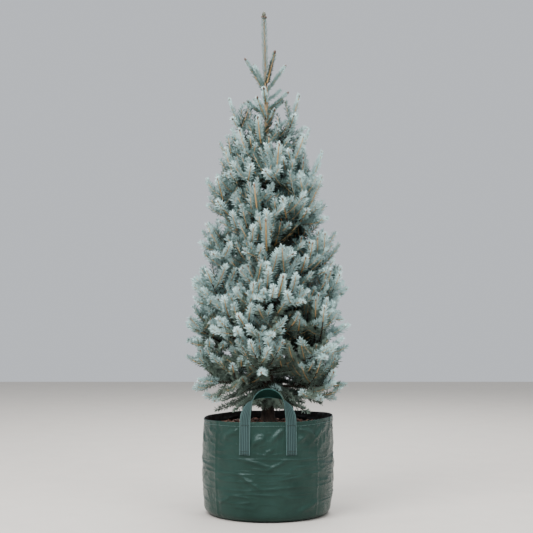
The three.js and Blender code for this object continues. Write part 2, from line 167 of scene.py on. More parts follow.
def frames_of(tangents):
    """The sideways and upward neighbours of each direction: side = tangent x Z, up = side x tangent."""
    side = np.cross(tangents, UP)
    upright = np.linalg.norm(side, axis=-1, keepdims=True) < 1e-3
    side = unit(np.where(upright, [0.0, -1.0, 0.0], side))
    return side, np.cross(side, tangents)


def tubes(paths, radii, sides):
    """Many tapering tubes: paths (N, R, 3) with radii (N, R). Each path point gets a ring of points at the
    angle 2 pi j / sides round its tangent, and both ends close in a fan."""
    count, rings = paths.shape[:2]
    side, up = frames_of(unit(np.gradient(paths, axis=1)))
    angle = 2 * np.pi * np.arange(sides) / sides
    spoke = up[:, :, None] * np.cos(angle)[:, None] + side[:, :, None] * np.sin(angle)[:, None]
    points = paths[:, :, None] + spoke * radii[:, :, None, None]
    one = capped_grid(points[0])[1]
    each = rings * sides + 2
    ends = points[:, [0, -1]].mean(axis=2)
    flat = np.concatenate([points.reshape(count, -1, 3), ends], axis=1).reshape(-1, 3)
    return flat, (one + each * np.arange(count)[:, None, None]).reshape(-1, 3)


# %% [markdown]
# ## Chance that repeats
# No two shoots of a plant are alike. A random generator could draw the differences, but then one more shoot
# would change all that come after it. Here a number that looks random is the fraction of a large sine
# instead. It is the same for the same tier, limb and use, in the solids and here. Relief comes from value
# noise, which blends such numbers from place to place.

# %% Chance and noise


def chance(tier, limb, use):
    """From 0 to 1: the fraction of 43758.5453 times the sine of a mix of the three numbers."""
    wave = np.sin(tier * 12.9898 + limb * 78.233 + use * 37.719) * 43758.5453
    return wave - np.floor(wave)


def swing(tier, limb, use):
    return 2 * chance(tier, limb, use) - 1


def soft_noise(places):
    """Value noise from -1 to 1. Each whole-number corner has a chance value, and a place between corners
    blends its eight neighbours by the smooth step 3t^2 - 2t^3."""
    base = np.floor(places)
    t = places - base
    t = t * t * (3 - 2 * t)
    total = np.zeros(places.shape[:-1])
    for corner in np.ndindex(2, 2, 2):
        share = np.prod(np.where(np.array(corner) == 1, t, 1 - t), axis=-1)
        x, y, z = np.moveaxis(base + corner, -1, 0)
        total += share * chance(x, y, z)
    return 2 * total - 1


def layered_noise(places, layers=3):
    """Noise, plus half of it at twice the fineness, and so on."""
    return sum(soft_noise(places * 2.0**i + 17.0 * i) / 2.0**i for i in range(layers))


# %% Sums that come up often


def smooth_step(low, high, value):
    """The share t of the way from low to high, clipped, as 3t^2 - 2t^3."""
    t = np.clip((value - low) / (high - low), 0, 1)
    return t * t * (3 - 2 * t)


def blend(low, high, share):
    return low + (high - low) * share


def full_turn(count):
    """Even angles all the way round."""
    return np.linspace(0, 2 * np.pi, count, endpoint=False)


def turn_from(turn, degrees):
    """The angle from a bearing to each turn, the shorter way round."""
    return (turn - np.radians(degrees) + np.pi) % (2 * np.pi) - np.pi


def dealt(counts):
    """For the members of all groups in one row: the group that each is in, and its rank in that group."""
    group = np.repeat(np.arange(len(counts)), counts)
    return group, np.arange(len(group)) - np.repeat(np.cumsum(counts) - counts, counts)


# %% [markdown]
# ## Materials
# Bark, buds and mix are mottled, and the bag and its straps are woven. Painted images could show that, but
# they would have to be drawn and fitted. Noise and sines need neither, and stay sharp from close by. Three
# effects are shared by several finishes, so each is a node group: a mottle, which mixes two colours by a
# noise, and a weave of crossing tapes and the ribs of a strap, which both follow a piece's own UV map. The
# shaders stay in the materials.

# %% Node helpers


def add_node(tree, kind, given=(), **settings):
    """A shader node with its settings. Each input that is given is a socket to link from, or a plain
    value."""
    node = tree.nodes.new("ShaderNode" + kind)
    for label, value in settings.items():
        setattr(node, label, value)
    for label, value in dict(given).items():
        if isinstance(value, bpy.types.NodeSocket):
            tree.links.new(value, node.inputs[label])
        else:
            node.inputs[label].default_value = value
    return node


def calculate(tree, operation, *values, **settings):
    return add_node(tree, "Math", enumerate(values), operation=operation, **settings).outputs[0]


def mix_values(tree, kind, share, low, high):
    given = {"Factor": share, "A": low, "B": high}
    return add_node(tree, "Mix", given, data_type=kind).outputs["Result"]


def surface_place(tree):
    """The two numbers of a piece's own UV map, whose unit is a metre."""
    uv = add_node(tree, "UVMap", uv_map="surface").outputs["UV"]
    return add_node(tree, "SeparateXYZ", {0: uv}).outputs


def new_group(name, values, results):
    """An empty shader node group, with the sockets that its values come from and those that its results go
    to. One number makes a float socket, three numbers a vector and four a colour."""
    group = bpy.data.node_groups.new(name, "ShaderNodeTree")
    for label, value in values.items():
        kind = {1: "NodeSocketFloat", 3: "NodeSocketVector", 4: "NodeSocketColor"}[np.size(value)]
        group.interface.new_socket(label, in_out="INPUT", socket_type=kind).default_value = value
    for label, kind in results.items():
        group.interface.new_socket(label, in_out="OUTPUT", socket_type=kind)
    return group, group.nodes.new("NodeGroupInput").outputs, group.nodes.new("NodeGroupOutput").inputs


# %% Node groups


def build_mottle():
    """Object coordinates, stretched, go through a noise. The noise, spread by a contrast, mixes two
    colours."""
    values = {"Dark": (0, 0, 0, 1), "Light": (1, 1, 1, 1), "Scale": 20.0, "Stretch": (1, 1, 1)}
    results = {"Color": "NodeSocketColor", "Height": "NodeSocketFloat"}
    group, given, out = new_group("mottle", values | {"Contrast": 1.0}, results)
    place = {0: add_node(group, "TexCoord").outputs["Object"], 1: given["Stretch"]}
    stretched = add_node(group, "VectorMath", place, operation="MULTIPLY").outputs[0]
    wanted = {"Vector": stretched, "Scale": given["Scale"], "Detail": 5.0, "Roughness": 0.6}
    noise = add_node(group, "TexNoise", wanted).outputs["Fac"]
    centred = calculate(group, "SUBTRACT", noise, 0.5)
    spread = calculate(group, "MULTIPLY_ADD", centred, given["Contrast"], 0.5, use_clamp=True)
    group.links.new(mix_values(group, "RGBA", spread, given["Dark"], given["Light"]), out["Color"])
    group.links.new(spread, out["Height"])
    return group


def build_tapes():
    """Two sets of rounded tapes cross at right angles. Each set's height is the square root of a sine's
    size, and the sign of the two sines' product says which set lies on top."""
    values = {"Across": 400.0, "Along": 400.0}
    group, given, out = new_group("crossing tapes", values, {"Height": "NodeSocketFloat"})
    place = surface_place(group)
    waves = []
    for axis, count in enumerate(values):
        turns = calculate(group, "MULTIPLY", place[axis], given[count])
        waves.append(calculate(group, "SINE", calculate(group, "MULTIPLY", turns, np.pi)))
    tapes = [calculate(group, "POWER", calculate(group, "ABSOLUTE", wave), 0.5) for wave in waves]
    on_top = calculate(group, "GREATER_THAN", calculate(group, "MULTIPLY", *waves), 0.0)
    group.links.new(mix_values(group, "FLOAT", on_top, *tapes), out["Height"])
    return group


def build_ribs(edge_from=0.86):
    """Lengthwise ribs: half a cosine of the UV map's first number, one rib for each turn, and a paler
    edge."""
    values = {"Pitch": 0.0075, "Half Width": 0.0225}
    group, given, out = new_group("ribs", values, {"Rib": "NodeSocketFloat", "Edge": "NodeSocketFloat"})
    across = surface_place(group)[0]
    turns = calculate(group, "DIVIDE", across, given["Pitch"])
    wave = calculate(group, "COSINE", calculate(group, "MULTIPLY", turns, 2 * np.pi))
    group.links.new(calculate(group, "MULTIPLY_ADD", wave, 0.5, 0.5), out["Rib"])
    share = calculate(group, "DIVIDE", calculate(group, "ABSOLUTE", across), given["Half Width"])
    group.links.new(calculate(group, "GREATER_THAN", share, edge_from), out["Edge"])
    return group


MOTTLE, TAPES, RIBS = build_mottle(), build_tapes(), build_ribs()
print("node groups:", len(bpy.data.node_groups))

# %% Finishes


def new_material(name, roughness, **sockets):
    """A Principled material with constant values set on the shader's own sockets."""
    material = bpy.data.materials.new(name)
    material.use_nodes = True
    shader = material.node_tree.nodes["Principled BSDF"]
    shader.inputs["Roughness"].default_value = roughness
    for label, value in sockets.items():
        shader.inputs[label.replace("_", " ")].default_value = value
    return material, material.node_tree, shader


def dress(tree, shader, colour, *layers):
    """Links the colour, and bumps one on another. Each layer has its height, strength and distance."""
    tree.links.new(colour, shader.inputs["Base Color"])
    below = {}
    for height, strength, distance in layers:
        given = {"Height": height, "Strength": strength, "Distance": distance}
        below = {"Normal": add_node(tree, "Bump", given | below).outputs["Normal"]}
    tree.links.new(below["Normal"], shader.inputs["Normal"])


def mottled(name, dark, light, scale, roughness, contrast=2.0, stretch=(1, 1, 1), bump=0.3, distance=0.002):
    """A finish of two colours mixed by the mottle, whose height also gives the bump."""
    material, tree, shader = new_material(name, roughness)
    values = {"Dark": (*dark, 1), "Light": (*light, 1), "Scale": scale, "Stretch": stretch}
    mottle = add_node(tree, "Group", values | {"Contrast": contrast}, node_tree=MOTTLE).outputs
    dress(tree, shader, mottle["Color"], (mottle["Height"], bump, distance))
    return material


# The grey bark is darker than bark in the open: painted shade from the crown above it.
GREY_BARK_AND_SHADE = mottled("grey bark and shade", (0.016, 0.010, 0.007), (0.066, 0.043, 0.029), 60, 0.85, 3.0, (1, 1, 0.5))
TAN_BARK = mottled("tan bark", (0.20, 0.115, 0.050), (0.40, 0.26, 0.130), 90, 0.75, 2.5, (1, 1, 0.4))
YOUNG_TWIG = mottled("young twig", (0.33, 0.190, 0.072), (0.61, 0.395, 0.17), 150, 0.6)
BUD = mottled("bud scales", (0.050, 0.024, 0.016), (0.12, 0.066, 0.040), 400, 0.6)
PALE_BUD = mottled("pale bud scales", (0.15, 0.080, 0.045), (0.30, 0.18, 0.110), 400, 0.6)
TOP_BUD = mottled("top bud scales", (0.040, 0.046, 0.028), (0.10, 0.104, 0.070), 400, 0.6)
MULCH = [
    mottled("mulch red", (0.090, 0.030, 0.019), (0.22, 0.085, 0.052), 60, 0.9),
    mottled("mulch brown", (0.035, 0.018, 0.012), (0.10, 0.050, 0.032), 60, 0.9),
    mottled("mulch pale", (0.15, 0.085, 0.055), (0.28, 0.18, 0.12), 60, 0.9),
]
coarse = {"bump": 0.8, "distance": 0.004}
SOIL = mottled("potting mix", (0.018, 0.011, 0.008), (0.075, 0.043, 0.028), 45, 0.95, **coarse)
THREAD = mottled("thread", (0.070, 0.13, 0.125), (0.120, 0.20, 0.190), 800, 0.6)
DARK_THREAD = mottled("dark thread", (0.004, 0.016, 0.013), (0.010, 0.032, 0.027), 800, 0.6)
LINING = mottled("black lining", (0.006, 0.008, 0.008), (0.016, 0.02, 0.02), 30, 0.45, bump=0.1)
FLOOR = mottled("pale floor", (0.50, 0.47, 0.43), (0.54, 0.505, 0.46), 6, 0.85, bump=0.05)

# Frost is partly a painted highlight on the lit tips, and deep partly painted shade inside the crown.
NEEDLE_COLOURS = {
    "frost_and_highlight": (0.50, 0.69, 0.68),
    "silver": (0.31, 0.44, 0.43),
    "blue": (0.145, 0.225, 0.208),
    "deep_and_shade": (0.044, 0.066, 0.048),
    "olive": (0.150, 0.205, 0.168),
}
NEEDLES = {}
for tone, colour in NEEDLE_COLOURS.items():
    more = {"Specular_IOR_Level": 0.35, "Base_Color": (*colour, 1)}
    NEEDLES[tone] = new_material(f"{tone} needles", 0.5, **more)[0]
print("materials:", len(bpy.data.materials))

# %% The bag's laminated weave and the webbing


def build_laminate():
    """Glossy film over a weave of flat tapes: two greens mottled, the tapes as a fine bump on a broad
    one."""
    # The specular tint is a painted reflection colour: it turns every reflection on the film teal-blue, as a
    # blue sky would.
    gloss = {"Specular_IOR_Level": 0.4, "IOR": 1.32, "Specular_Tint": (0.80, 0.96, 0.98, 1)}
    material, tree, shader = new_material("laminated weave", 0.27, **gloss)
    values = {"Dark": (0.0095, 0.026, 0.020, 1), "Light": (0.018, 0.044, 0.036, 1)}
    mottle = add_node(tree, "Group", values | {"Scale": 9.0, "Contrast": 2.2}, node_tree=MOTTLE).outputs
    tapes = add_node(tree, "Group", {"Across": 330.0, "Along": 330.0}, node_tree=TAPES).outputs
    dress(tree, shader, mottle["Color"], (mottle["Height"], 0.25, 0.004), (tapes["Height"], 0.35, 0.0006))
    return material


def build_webbing(name, dark, light, edge, gloss):
    """Matte ribbed strap: painted shade between its ribs and painted light on them, a paler woven edge, and a
    close weave."""
    material, tree, shader = new_material(name, 0.62, Specular_IOR_Level=gloss)
    ribs = add_node(tree, "Group", node_tree=RIBS).outputs
    tapes = add_node(tree, "Group", {"Across": 700.0, "Along": 500.0}, node_tree=TAPES).outputs
    # The rib wave mixes painted shade between the ribs with painted light on them.
    colour = mix_values(tree, "RGBA", ribs["Rib"], (*dark, 1), (*light, 1))
    colour = mix_values(tree, "RGBA", ribs["Edge"], colour, (*edge, 1))
    dress(tree, shader, colour, (ribs["Rib"], 0.5, 0.0008), (tapes["Height"], 0.4, 0.0005))
    return material


LAMINATE = build_laminate()
# Each set of greens: painted shade between the ribs, painted light on them, and the woven edge.
OUTER_GREENS = ((0.004, 0.015, 0.015), (0.040, 0.083, 0.082), (0.064, 0.122, 0.118))
# The inner face of each strap gets a darker, duller copy of the webbing: painted shade, as that face turns
# down at the crest.
SHADED_INNER_GREENS = ((0.001, 0.011, 0.008), (0.002, 0.018, 0.014), (0.03, 0.09, 0.082))
WEBBING = build_webbing("webbing", *OUTER_GREENS, 0.3)
SHADED_STRAP_INSIDE = build_webbing("shaded webbing inside", *SHADED_INNER_GREENS, 0.08)

# %% [markdown]
# ## The growing rule
# A spruce grows a whorl of limbs each year. They could be placed by hand, but a rule with a table is
# shorter, and because the solids use the same one, both crowns fill the same space. The table gives each
# tier from the top down, with the same numbers as the solids: where its limbs leave the stem, how many
# there are, which way the first one points, how far out and up they reach, how much they bend, how many
# shoots the solid has, and how wide its dense core is.

# %% The tiers
TIERS = np.array(
    [
        (1.778, 4, 25, 0.092, 0.122, 0.1, 0, 0),
        (1.668, 4, 70, 0.096, 0.066, 0.2, 0, 0),
        (1.455, 5, 36, 0.165, 0.236, 0.9, 4, 0.044),
        (1.272, 5, 0, 0.226, 0.246, 1.2, 5, 0.066),
        (1.106, 5, 36, 0.258, 0.226, 1.1, 6, 0.082),
        (0.960, 5, -18, 0.286, 0.198, 1.0, 6, 0.094),
        (0.822, 4, 15, 0.312, 0.158, 0.9, 7, 0.116),
        (0.690, 4, -15, 0.335, 0.104, 0.8, 7, 0.120),
        (0.562, 5, -18, 0.306, 0.014, 0.6, 6, 0.100),
    ],
    dtype=[(name, float) for name in "height limbs bearing reach rise bend shoots core".split()],
)
# Lengths are in metres and angles in degrees. The others are shares of a length, or powers.
STEM = {"foot": 0.3663, "tip": 2.104, "leader": 1.786, "radius": 0.025, "neck": 0.008, "slim": 0.005}
STEM |= {"top": 0.0032, "flare": 0.013, "flare_height": 0.034, "taper": 1.8, "lean": -0.017, "bow": 0.009}
STEM |= {"bud": 0.024}
LIMB = {"turn": 7, "spread": 0.070, "height": 0.009, "size": 0.08, "root": 0.002, "per_reach": 0.011}
LIMB |= {"top_tip": 0.62, "tip": 0.45}
SHOOT = {"first": 0.2, "last": 0.68, "free": 0.120, "shortening": 0.4, "angle": 66, "closing": 26}
SHOOT |= {"sag": 0.25, "lift": 0.12, "added_lift": 0.4, "added_length": 0.85, "added_roll": 50}
ROLLS = np.array([24.0, -34.0, 62.0, -8.0])
CORE = {"from": 0.13, "to": 0.76, "blunt": 0.5, "bough_from": 0.300, "bough_share": 0.16}


def stem_place(z):
    """The stem's middle line: it leans evenly, with a bow of one half sine."""
    share = (z - STEM["foot"]) / (STEM["tip"] - STEM["foot"])
    x = STEM["lean"] * share + STEM["bow"] * np.sin(np.pi * share)
    return np.stack([x, np.zeros_like(z), z], axis=-1)


def stem_radius(z):
    """Thinning by a power of the height, with an exponential flare at the foot and a slim leader on top."""
    left = np.clip((STEM["leader"] - z) / (STEM["leader"] - STEM["foot"]), 0, 1)
    flare = STEM["flare"] * np.exp(-(z - STEM["foot"]) / STEM["flare_height"])
    old = blend(STEM["neck"], STEM["radius"], left ** STEM["taper"]) + flare
    share = np.clip((z - STEM["leader"]) / (STEM["tip"] - STEM["leader"]), 0, 1)
    return np.where(z < STEM["leader"], old, blend(STEM["slim"], STEM["top"], share))


# %% Curves and limbs


def fitted(curves, t):
    """One t for each curve (N, 3, 3), or a row of them, and its three points shaped to go with that."""
    t = np.asarray(t)[..., None]
    return t, *(curves[:, i] if t.ndim == 2 else curves[:, None, i] for i in range(3))


def on_curve(curves, t):
    """The place at t on quadratic curves: (1-t)^2 root + 2t(1-t) bend + t^2 tip."""
    t, root, bend, tip = fitted(curves, t)
    return (1 - t) ** 2 * root + 2 * t * (1 - t) * bend + t**2 * tip


def tangent_on(curves, t):
    """The unit tangent there: the blend of the curve's two arms."""
    t, root, bend, tip = fitted(curves, t)
    return unit((1 - t) * (bend - root) + t * (tip - bend))


def along(curves, start, stop, count):
    """Places at even steps on every curve, (N, count, 3)."""
    return on_curve(curves, np.tile(np.linspace(start, stop, count), (len(curves), 1)))


def curve_lengths(curves):
    """The sum of eight straight steps."""
    return np.linalg.norm(np.diff(along(curves, 0, 1, 9), axis=1), axis=-1).sum(axis=1)


def limb_curves(t, i):
    """Out and up from the stem on a curve that bends to the sky. t is the tier and i the limb in it."""
    tier = TIERS[t]
    bearing = np.radians(tier["bearing"] + 360 * i / tier["limbs"] + LIMB["turn"] * swing(t, i, 1))
    size = 1 + LIMB["size"] * swing(t, i, 2)
    step = (i * 2) % tier["limbs"] / (tier["limbs"] - 1) - 0.5
    spread = LIMB["spread"] * np.minimum(1, tier["reach"] / 0.2)
    root = stem_place(tier["height"] + spread * step + LIMB["height"] * swing(t, i, 3))
    rise = tier["rise"] * (1 + 3 * LIMB["size"] * swing(t, i, 4))
    out = on_circle(bearing) * (tier["reach"] * size)[:, None]
    up = rise[:, None] * UP
    bend = root + out * (0.5 + 0.2 * tier["bend"])[:, None] + up * (0.5 - 0.25 * tier["bend"])[:, None]
    return np.stack([root, bend, root + out + up], axis=1)


limb_t = np.repeat(np.arange(len(TIERS)), TIERS["limbs"].astype(int))
limb_i = np.concatenate([np.arange(n) for n in TIERS["limbs"].astype(int)])
limbs = limb_curves(limb_t, limb_i)
limb_radius = LIMB["root"] + LIMB["per_reach"] * TIERS["reach"][limb_t]
lengths = curve_lengths(limbs).round(2)
print("limbs:", len(limbs), "their lengths:", lengths.min(), "to", lengths.max())

# %% [markdown]
# ## Side shoots and twigs
# Each limb carries side shoots and each of these carries twigs, by turns on both sides, which makes the
# flat fans that a spruce has. Scattering them over a limb would be quick, but it would lose that order, so
# each one grows out of its parent at an angle. The solid has a few side shoots on each limb. Here the same
# shoots stand in the same places, and next to each grows one more, a little shorter and more upright. A
# shoot that would reach into the space of a hand at a handle, or below the rim, is left out.

# %% Side shoots
FINER = 2  # side shoots here for each one of the solid


def core_share(t, place):
    """How full the dense core is at a place along the limb: a sine hump, blunted."""
    start = np.where(TIERS["reach"][t] > CORE["bough_from"], CORE["bough_share"] + 0.03, CORE["from"])
    share = np.clip((place - start) / (CORE["to"] - start), 0, 1)
    return np.sin(np.pi * share**0.8) ** CORE["blunt"]


def side_curves(parents, place, angle, roll, hand, length, lift):
    """Curves that leave their parents at an angle: along the tangent by its cosine, and by its sine to one
    side, turned up or down by the roll. The tip turns up by a share of the length, and the middle sags."""
    tangent = tangent_on(parents, place)
    side, up = frames_of(tangent)
    angle, roll, hand, length, lift = (v[:, None] for v in (angle, roll, hand, length, lift + 0 * length))
    spread = side * hand * np.cos(roll) + up * np.sin(roll)
    direction = tangent * np.cos(angle) + spread * np.sin(angle)
    root = on_curve(parents, place)
    tip = root + direction * length + lift * length * UP
    sag = SHOOT["sag"] * lift * length * UP
    return np.stack([root, root + direction * length * 0.6 - sag, tip], axis=1)


counts = (TIERS["shoots"][limb_t] * FINER).astype(int)
of_limb, rank = dealt(counts)
own = rank % FINER == 0
k = np.where(own, rank // FINER, rank)
t, i = limb_t[of_limb], limb_i[of_limb]
use = np.where(own, 10 + k * 5, 200 + k * 5)
place = SHOOT["first"] + (SHOOT["last"] - SHOOT["first"]) * (rank + 1) / counts[of_limb]
angle = np.radians(SHOOT["angle"] - SHOOT["closing"] * place + 8 * swing(t, i, use))
turned = swing(t, i, use + 1)
roll = np.radians(np.where(own, ROLLS[(k // 2 + i) % 4] + 12 * turned, SHOOT["added_roll"] + 34 * turned))
free = SHOOT["free"] * np.minimum(1, TIERS["reach"][t] / 0.26) * (1 - SHOOT["shortening"] * place)
inner = TIERS["core"][t] * core_share(t, place) * 0.8
length = (inner + free * (1 + 0.16 * swing(t, i, use + 2))) * np.where(own, 1, SHOOT["added_length"])
hand = np.where(k % 2 == 1, 1.0, -1.0)
lift = np.where(own, SHOOT["lift"], SHOOT["added_lift"])


def within_reach(t, parents, place, angle, roll, hand, length, lift):
    """Side curves and their lengths. A curve whose tip would pass its tier's reach is shortened, by what is
    left there over what it takes."""
    curves = side_curves(parents, place, angle, roll, hand, length, lift)
    start, end = (np.hypot(curves[:, n, 0], curves[:, n, 1]) for n in (0, 2))
    limit = np.maximum(1.02 * TIERS["reach"][t] - 0.008, start + 0.01)
    length = length * np.where(end > limit, (limit - start) / np.maximum(end - start, 0.01), 1)
    return side_curves(parents, place, angle, roll, hand, length, lift), length


side_shoots, length = within_reach(t, limbs[of_limb], place, angle, roll, hand, length, lift)
print("side shoots:", len(side_shoots), "total", round(curve_lengths(side_shoots).sum(), 1), "m")

# %% Shoots on the stem
TURN_ON = 2.39996  # the golden angle, in radians


def stem_shoots(count, low, high, length, rise, seed, bend=(0.55, 0.35)):
    """Shoots between the whorls: evenly spaced heights with a little chance, each a golden angle on from
    the last. The tip lies out by the length and up by the rise, both given for the lowest and the topmost.
    The bend is the middle point, as shares of the way out and up."""
    n = np.arange(count, dtype=float)
    share = (n + 0.5 + 0.4 * swing(seed, n, 1)) / count
    out = on_circle(n * TURN_ON + seed)
    out = out * (blend(*length, share) + 0.012 * swing(seed, n, 2))[:, None]
    up = blend(*rise, share)[:, None] * UP
    root = stem_place(blend(low, high, share))
    return np.stack([root, root + out * bend[0] + up * bend[1], root + out + up], axis=1)


def nearest_tier(shoots):
    return abs(shoots[:, 0, 2, None] - TIERS["height"]).argmin(axis=1)


# The numbers are those of stem_shoots. Weak limbs between the whorls carry twigs as the side shoots do, so
# they join them here. Their second and third rows are the long straight ones that stand out of the crown's
# edge.
STEM_SHOOTS = {
    "between": [
        (30, 0.64, 1.44, (0.265, 0.140), (0.095, 0.130), 4.27, (0.76, 0.22)),
        (6, 1.34, 1.45, (0.200, 0.172), (0.190, 0.170), np.pi, (0.74, 0.22)),
        (5, 0.50, 0.80, (0.335, 0.315), (0.090, 0.120), np.pi, (0.70, 0.30)),
    ],
    "upper": [(11, 1.530, 1.735, (0.092, 0.074), (0.064, 0.050), 1.854)],
    "inner": [(72, 0.60, 1.465, (0.170, 0.090), (0.020, 0.060), 4.0)],
    "low": [
        (13, 0.475, 0.575, (0.150, 0.170), (-0.030, -0.070), 5.0),
        (17, 0.440, 0.520, (0.060, 0.150), (-0.004, -0.045), 6.0),
        (18, 0.490, 0.620, (0.120, 0.170), (-0.010, 0.030), 8.0),
        (7, 0.470, 0.540, (0.205, 0.225), (-0.050, -0.075), np.pi),
    ],
}
STEM_SHOOT_RADIUS = 0.0024
between, upper_shoots, inner_shoots, low_shoots = (
    np.concatenate([stem_shoots(*row) for row in rows]) for rows in STEM_SHOOTS.values()
)
side_shoots = np.concatenate([side_shoots, between])
side_t = np.concatenate([t, nearest_tier(between)])
length = np.concatenate([length, curve_lengths(between)])
side_radius = 0.0012 + 0.012 * length
print("shoots on the stem:", len(between) + len(upper_shoots) + len(inner_shoots) + len(low_shoots))

# %% Finer twigs
TWIG = {"every": 0.044, "first": 0.18, "last": 0.62, "angle": 54, "lift": 0.26, "least": 0.050}
TWIG |= {"length": 0.48, "radius": 0.0020}

counts = np.maximum(0, length / TWIG["every"] - 1).astype(int)
of_side, rank = dealt(counts)
twig_t, twig_i = side_t[of_side], of_side % 97  # the chances repeat after 97 shoots
place = TWIG["first"] + (TWIG["last"] - TWIG["first"]) * (rank + 0.5) / counts[of_side]
angle = np.radians(TWIG["angle"] + 9 * swing(twig_t, twig_i, 400 + rank * 3))
roll = np.radians(22 * swing(twig_t, twig_i, 401 + rank * 3) + 10)
hand = np.where((rank + of_side) % 2 == 1, 1.0, -1.0)
twig_length = TWIG["least"] + length[of_side] * TWIG["length"] * (1 - place)
twig_length = twig_length * (1 + 0.2 * swing(twig_t, twig_i, 402 + rank * 3))
twigs = within_reach(twig_t, side_shoots[of_side], place, angle, roll, hand, twig_length, TWIG["lift"])[0]
print("twigs:", len(twigs), "total", round(curve_lengths(twigs).sum(), 1), "m")

# %% Kept clear
# The space of a hand in each handle's loop, the space round the rim, and the lowest height, with room for
# needles. The third tier is number 2, counted from 0, and this share of its added shoots is left out.
HAND = {"half_width": 0.13, "from": 0.215, "to": 0.305, "top": 0.545}
RIM = {"radius": 0.25, "top": 0.43}
LOWEST = 0.395
OPEN_TIER, LEFT_OUT = 2, 0.7


def stays_clear(curves):
    """True where no point of a curve, with its needles, lies in a handle's space or too near the bag's
    rim."""
    x, y, z = np.moveaxis(along(curves, 0.1, 1, 7), -1, 0)
    in_loop = (abs(y) > HAND["from"]) & (abs(y) < HAND["to"])
    in_hand = (abs(x) < HAND["half_width"]) & in_loop & (z < HAND["top"])
    in_bag = (np.hypot(x, y) > RIM["radius"]) & (z < RIM["top"])
    return ~(in_hand | in_bag | (z < LOWEST)).any(axis=1)


# The third tier is open, so that light comes through between its shoots: most of its added ones are left out.
is_added = np.concatenate([~own, np.zeros(len(between), bool)])
is_open = is_added & (side_t == OPEN_TIER) & (chance(2.0, np.arange(len(side_shoots)), 90) < LEFT_OUT)
kept = stays_clear(side_shoots) & ~is_open
keep_twig = kept[of_side] & stays_clear(twigs)
print("left out:", int((~kept).sum()), "side shoots and", int((~keep_twig).sum()), "twigs")
low_shoots = low_shoots[stays_clear(low_shoots)]

# %% [markdown]
# ## Wood
# The stem's bark is rough, with flutes at its foot. A bump on a smooth tube would look the same from afar,
# but its edge would stay straight. So the relief is real: the radius at each point moves in and out by
# layered noise that is stretched along the stem. Limbs and shoots are thin and mostly covered, so they are
# tubes, all of one kind in one mesh.

# %% Stem
TAN_FROM = 1.50  # the height where the stem is young

lower, upper = np.linspace(STEM["foot"], 1.2, 360), np.linspace(1.204, STEM["tip"] - STEM["bud"], 220)
height, turn = np.meshgrid(np.concatenate([lower, upper]), full_turn(56), indexing="ij")
smooth_radius = stem_radius(height)
spoke = on_circle(turn)
across = spoke[..., :2] * smooth_radius[..., None] * 110
skin_place = np.concatenate([across, height[..., None] * 55], axis=-1)
flutes = 0.10 * np.exp(-(height - STEM["foot"]) / 0.03) * np.cos(5 * turn + 1.3)
relief = (0.055 * layered_noise(skin_place) + flutes) * smooth_radius
points, triangles = capped_grid(stem_place(height) + spoke * (smooth_radius + relief)[..., None])
is_tan = points[triangles[:, 0], 2] > TAN_FROM
# The grey bark on the lower stem carries painted shade.
make_piece("stem_bark", points, triangles, [GREY_BARK_AND_SHADE, TAN_BARK], ["stem"], "bark", face_slots=is_tan)

# %% Limbs, shoots and twigs


def wood(name, curves, root_radius, tip_share, sides, rings, young_from, replaced=(), relief=0.0):
    """Tubes along curves, thinning evenly to a share of the root's radius, with noise relief on request.
    Bark is grey-brown, darkened as painted shade, up to the share young_from of the length, and young and
    ochre from there on."""
    end = 0.985  # just short of the tip
    radii = root_radius[:, None] * (1 - (1 - tip_share) * np.linspace(0, end, rings))
    points, triangles = tubes(along(curves, 0, end, rings), radii, sides)
    ring = triangles.min(axis=1) % (rings * sides + 2) // sides
    limb = triangles[:, 0] // (rings * sides + 2)
    is_young = ring / rings >= (young_from * np.ones(len(curves)))[limb]
    if relief:
        points = points + relief * unit(points * [1.0, 1.0, 0.0]) * layered_noise(points * 160)[:, None]
    make_piece(name, points, triangles, [GREY_BARK_AND_SHADE, YOUNG_TWIG], replaced, "bark", face_slots=is_young)


boughs = [n for n in NODES if n.startswith("bough")]
full = TIERS["shoots"][limb_t] > 0
young_from = np.where(full, np.where(limb_t > 6, 0.75, 0.55), 0.1)
tip_share = np.where(limb_t < 6, LIMB["top_tip"], LIMB["tip"])[:, None]
wood("limb_bark", limbs, limb_radius, tip_share, 12, 22, young_from, boughs, 0.0004)
young_from = np.where(side_t > 5, 0.62, 0.35)
wood("side_shoot_bark", side_shoots[kept], side_radius[kept], 0.55, 6, 8, young_from[kept])
wood("twig_bark", twigs[keep_twig], np.full(int(keep_twig.sum()), TWIG["radius"]), 0.8, 4, 4, 0.0)
sets = (("upper", upper_shoots, 0), ("inner", inner_shoots, 1), ("low", low_shoots, 1))
for name, shoots, young_from in sets:
    wood(f"{name}_stem_shoot_bark", shoots, np.full(len(shoots), STEM_SHOOT_RADIUS), 0.6, 6, 7, young_from)

# %% [markdown]
# ## Needles
# A spruce's needles are short, stiff and sharp, and their wax makes them blue. Flat cards with a picture of
# many needles would be lighter, but they give themselves away from the side. So each needle is a slim
# closed spike of four faces: a foot on the twig, two corners that make it widest at three fifths of its
# length, and a sharp tip. The needles of a shoot stand round it on a golden-angle spiral and part below the
# wood. They lean forward, and close up towards the tip. A shoot is cut into two to four stretches. Each
# stretch is a spray of one colour, dealt by how far out it lies and by chance: frosted at the tips, then
# silver and blue, and deep green within, with olive in its place low down. The frost is partly a painted
# highlight on the lit tips, and the deep green is partly painted shade inside the crown.

# %% Needles
NEEDLE = {"length": 0.0245, "wide": 0.0044, "lean": 60, "top_lean": 48, "tip_lean": 32, "sweep": 0.12}
NEEDLE |= {"jitter": 14, "closes_from": 0.84, "closes_over": 0.16, "foot": 0.6, "widest": 0.6, "thick": 0.7}
PER_METRE = {"frost_and_highlight": 900, "silver": 840, "blue": 760, "deep_and_shade": 660, "olive": 760}
GOLDEN = np.pi * (3 - np.sqrt(5))
PARTING = 0.78  # share of the way round that carries needles


